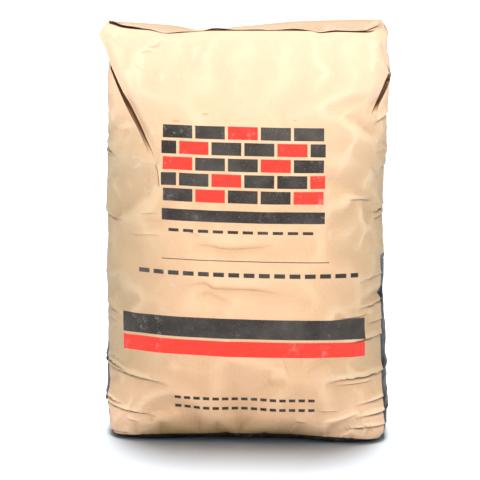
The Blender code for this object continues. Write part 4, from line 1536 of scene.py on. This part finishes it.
def closed_sheet(name, low, high, material):
    """A closed sheet from two grids of points, one over the other."""
    rows, columns = low.shape[:2]
    count = rows * columns
    grid = np.arange(count).reshape(rows, columns)
    under = np.stack([grid[:-1, :-1], grid[:-1, 1:], grid[1:, 1:], grid[1:, :-1]], axis=-1).reshape(-1, 4)
    edge = [*grid[0], *grid[1:, -1], *grid[-1, -2::-1], *grid[-2:0:-1, 0]]
    rim = [(a, b, b + count, a + count) for a, b in zip(edge, edge[1:] + edge[:1])]
    faces = [*under.tolist(), *(under[:, ::-1] + count).tolist(), *rim]
    return mesh_object(name, [*low.reshape(-1, 3), *high.reshape(-1, 3)], faces, material)


# Both are laid over the top end by shares of its width, from the right, and of its depth, back from the slit
STRIP_ACROSS = (0.042, 0.958)
STRIP_DEPTHS = (-0.03, 0.857)
STRIP_GRID = (34, 130)    # rows and columns
STRIP_THICK = 0.0008
STRIP_LIFT = 0.0009       # how high it lies over the end
STRIP_SEED = 3
SLEEVE_SHARES = (0.018, 0.1887)
SLEEVE_DEPTHS = (0.286, 0.714)
SLEEVE_LIFT = 0.0026      # how much higher the strip lies over the sleeve
SLEEVE_ROUND = 40         # points round it
SLEEVE_LENGTHS = 26
SLEEVE_MOUTH = 0.45       # share of its length over which its mouth closes
SLEEVE_MOUTH_LENGTHS = 12
SLEEVE_PAPER = 0.00045    # how far its inside lies within its outside
END_FIRST_ROW = 7         # the first row behind the slit


def end_place(top, across, depth):
    """A point of the top end by its shares across from the right and back from the slit."""
    rows = END_FIRST_ROW + depth * (len(top) - 1 - END_FIRST_ROW)
    return read_grid(top, rows, np.interp(across, PANEL_SHARES, np.arange(PANEL_POINTS)))


def make_end_strip(top, material):
    """The cover strip pasted along the top end, lifted where the valve's sleeve runs under it."""
    rows, columns = STRIP_GRID
    across, depth = np.meshgrid(np.linspace(*STRIP_ACROSS, columns), np.linspace(*STRIP_DEPTHS, rows))
    rng = np.random.default_rng(STRIP_SEED)
    wave = 0.0009 * np.sin(np.linspace(0, 34, columns) + rng.uniform(0, 6))
    wave *= np.cos(np.linspace(0, 11, columns))
    edge = np.abs(np.linspace(-1, 1, rows))[:, None] ** 14
    low = end_place(top, across, np.clip(depth, 0, None))
    low[..., 1] += np.where(depth < 0, depth * 0.1, 0) + edge * wave * 0.8
    over = smooth((SLEEVE_SHARES[1] + 0.02 - across) / 0.03)
    over *= smooth((depth - SLEEVE_DEPTHS[0] + 0.10) / 0.12)
    over *= smooth((SLEEVE_DEPTHS[1] + 0.10 - depth) / 0.12)
    ripple = 0.0005 * noise(low * (1.0, 1.6, 1.0), 0.022, 8) + 0.00035 * noise(low, 0.009, 9)
    curled = 0.0009 * edge * (0.5 + 0.5 * np.sin(across * 47))
    low[..., 2] += STRIP_LIFT + SLEEVE_LIFT * over + np.abs(ripple) + curled
    return closed_sheet("end_strip", low, low + np.array([0.0, 0.0, STRIP_THICK]), material)


def make_valve(top, material):
    """The flattened paper sleeve of the filling valve, its mouth a little open past the strip's end."""
    turn = np.linspace(0, 2 * math.pi, SLEEVE_ROUND, endpoint=False)
    middle_depth = sum(SLEEVE_DEPTHS) / 2
    half_depth = (SLEEVE_DEPTHS[1] - SLEEVE_DEPTHS[0]) / 2

    def loop(share, inset):
        """One ring of its points, by its share of the way in from the mouth."""
        across = SLEEVE_SHARES[0] + (SLEEVE_SHARES[1] - SLEEVE_SHARES[0]) * share
        reach = np.sign(np.cos(turn)) * np.abs(np.cos(turn)) ** 0.6
        depth = middle_depth + (half_depth - inset * 8) * reach
        at = end_place(top, np.full(SLEEVE_ROUND, across), depth)
        mouth = smooth(1 - share / SLEEVE_MOUTH)
        thick = 0.0010 + 0.0011 * mouth
        lift = np.sign(np.sin(turn)) * np.abs(np.sin(turn)) ** 0.8
        at[:, 2] += 0.0005 + thick + (thick - inset) * lift * np.where(lift > 0, 1.0, 0.9)
        at[:, 2] += 0.0004 * mouth * np.sin(3 * turn + 1.0)
        return at

    outer = [loop(share, 0.0) for share in np.linspace(0, 1, SLEEVE_LENGTHS)]
    inner = [loop(share, SLEEVE_PAPER) for share in np.linspace(0.0, SLEEVE_MOUTH, SLEEVE_MOUTH_LENGTHS)]
    rings = np.array([*inner[::-1], *outer])
    faces = grid_faces(len(rings), SLEEVE_ROUND)
    faces.append(range(SLEEVE_ROUND)[::-1])
    faces.append(range((len(rings) - 1) * SLEEVE_ROUND, len(rings) * SLEEVE_ROUND))
    return mesh_object("valve_tube", rings.reshape(-1, 3), faces, material, 70)


# Floor, light and camera

FLOOR_REACH = 80.0
AIM = Vector((0.0, 0.0, 0.3100))
DISTANCE = 2.05
ELEVATION = math.radians(12.0)
AZIMUTH = math.radians(3.0)
SENSOR_WIDTH = 36
LENS = 103
FRAME_PIXELS = 480
AIM_PIXEL = (247, 230)    # where the camera's aim lies in the photograph's frame


def direction(azimuth, elevation):
    """The direction from the sack to an azimuth, counted from its front, and an elevation."""
    level = math.cos(elevation)
    return Vector((math.sin(azimuth) * level, -math.cos(azimuth) * level, math.sin(elevation)))


def make_floor():
    """A wide pale floor."""
    mesh = bpy.data.meshes.new("floor")
    corners = [(x * FLOOR_REACH, y * FLOOR_REACH, 0) for x, y in ((-1, -1), (1, -1), (1, 1), (-1, 1))]
    mesh.from_pydata(corners, [], [(0, 1, 2, 3)])
    floor = add_object("floor", mesh)
    graph = Graph("floor")
    graph.wire(graph.noise(3.0).between(*FLOOR_COLOURS), graph.shader.inputs["Base Color"])
    graph.shader.inputs["Roughness"].default_value = 0.9
    graph.shader.inputs["Specular IOR Level"].default_value = 0.1
    mesh.materials.append(graph.material)
    return floor


def make_camera():
    """The camera at the photograph's viewing angle."""
    camera = add_object("camera", bpy.data.cameras.new("camera"))
    back = direction(AZIMUTH, ELEVATION)
    camera.location = AIM + back * DISTANCE
    camera.rotation_mode = "QUATERNION"
    camera.rotation_quaternion = (-back).to_track_quat("-Z", "Y")
    camera.data.sensor_width = SENSOR_WIDTH
    camera.data.lens = LENS
    camera.data.shift_x = (FRAME_PIXELS / 2 - AIM_PIXEL[0]) / FRAME_PIXELS
    camera.data.shift_y = (AIM_PIXEL[1] - FRAME_PIXELS / 2) / FRAME_PIXELS
    bpy.context.scene.camera = camera


# Soft lamps that light the sack alone: (place, size, power, colour)
LAMPS = {
    "key": ((0.12, -2.2, 2.9), 0.6, 102.0, (1.0, 1.0, 0.98)),
    "top_lamp": ((0.24, -0.90, 1.45), 0.35, 2.0, (1.0, 1.0, 0.98)),
    "back_key": ((-1.2, 3.4, 1.6), 1.2, 90.0, (1.0, 1.0, 1.0)),
}
LAMP_AIM = Vector((0, 0, 0.3))
SUN_ELEVATION = math.radians(76.0)
SUN_AZIMUTH = math.radians(182.0)    # it stands behind the sack, so that the shadow falls forwards
SUN_SPREAD = math.radians(24.0)
SUN_POWER = 6.2
SKY_STRENGTH = 0.24
SKY_COLOUR = (0.93, 1.0, 1.02, 1.0)


def add_light(name, kind, power, away, lit):
    """A light that shines against a direction on some pieces alone; all pieces still cast its shadows."""
    light = add_object(name, bpy.data.lights.new(name, kind))
    light.data.energy = power
    light.rotation_mode = "QUATERNION"
    light.rotation_quaternion = away.to_track_quat("Z", "Y")
    receivers = bpy.data.collections.new(f"{name}_pieces")
    for piece in lit:
        receivers.objects.link(piece)
    light.light_linking.receiver_collection = receivers
    return light


def make_lights(pieces, floor):
    """Soft lamps for the sack, and a high soft sun behind it for its shadow on the floor."""
    for name, (place, size, power, colour) in LAMPS.items():
        lamp = add_light(name, "AREA", power, Vector(place) - LAMP_AIM, pieces)
        lamp.location = place
        lamp.data.size = size
        lamp.data.color = colour
    sun = add_light("sun", "SUN", SUN_POWER, direction(SUN_AZIMUTH, SUN_ELEVATION), [floor])
    sun.data.angle = SUN_SPREAD
    world = bpy.data.worlds.new("studio")
    bpy.context.scene.world = world
    world.use_nodes = True
    background = world.node_tree.nodes["Background"]
    background.inputs["Color"].default_value = SKY_COLOUR
    background.inputs["Strength"].default_value = SKY_STRENGTH
    bpy.context.scene.view_settings.view_transform = "Standard"


def main():
    """Makes every piece, then the floor, the camera and the lights."""
    skin, top = make_skin(make_skin_material())
    strip = make_end_strip(top, make_plain_paper("kraft_strip", STRIP_COLOURS))
    valve = make_valve(top, make_plain_paper("sleeve_paper", SLEEVE_COLOURS))
    for piece, node, slot in (
        (skin, "sack", "kraft_print"),
        (strip, "top_patch", "kraft_strip"),
        (valve, "valve_sleeve", "sleeve_paper"),
    ):
        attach(piece, "root")
        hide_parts(node)
    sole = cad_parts["bottom_patch"]
    sole.data.materials.clear()
    sole.data.materials.append(make_dark_paper())
    floor = make_floor()
    make_camera()
    make_lights([skin, strip, valve, sole], floor)


main()
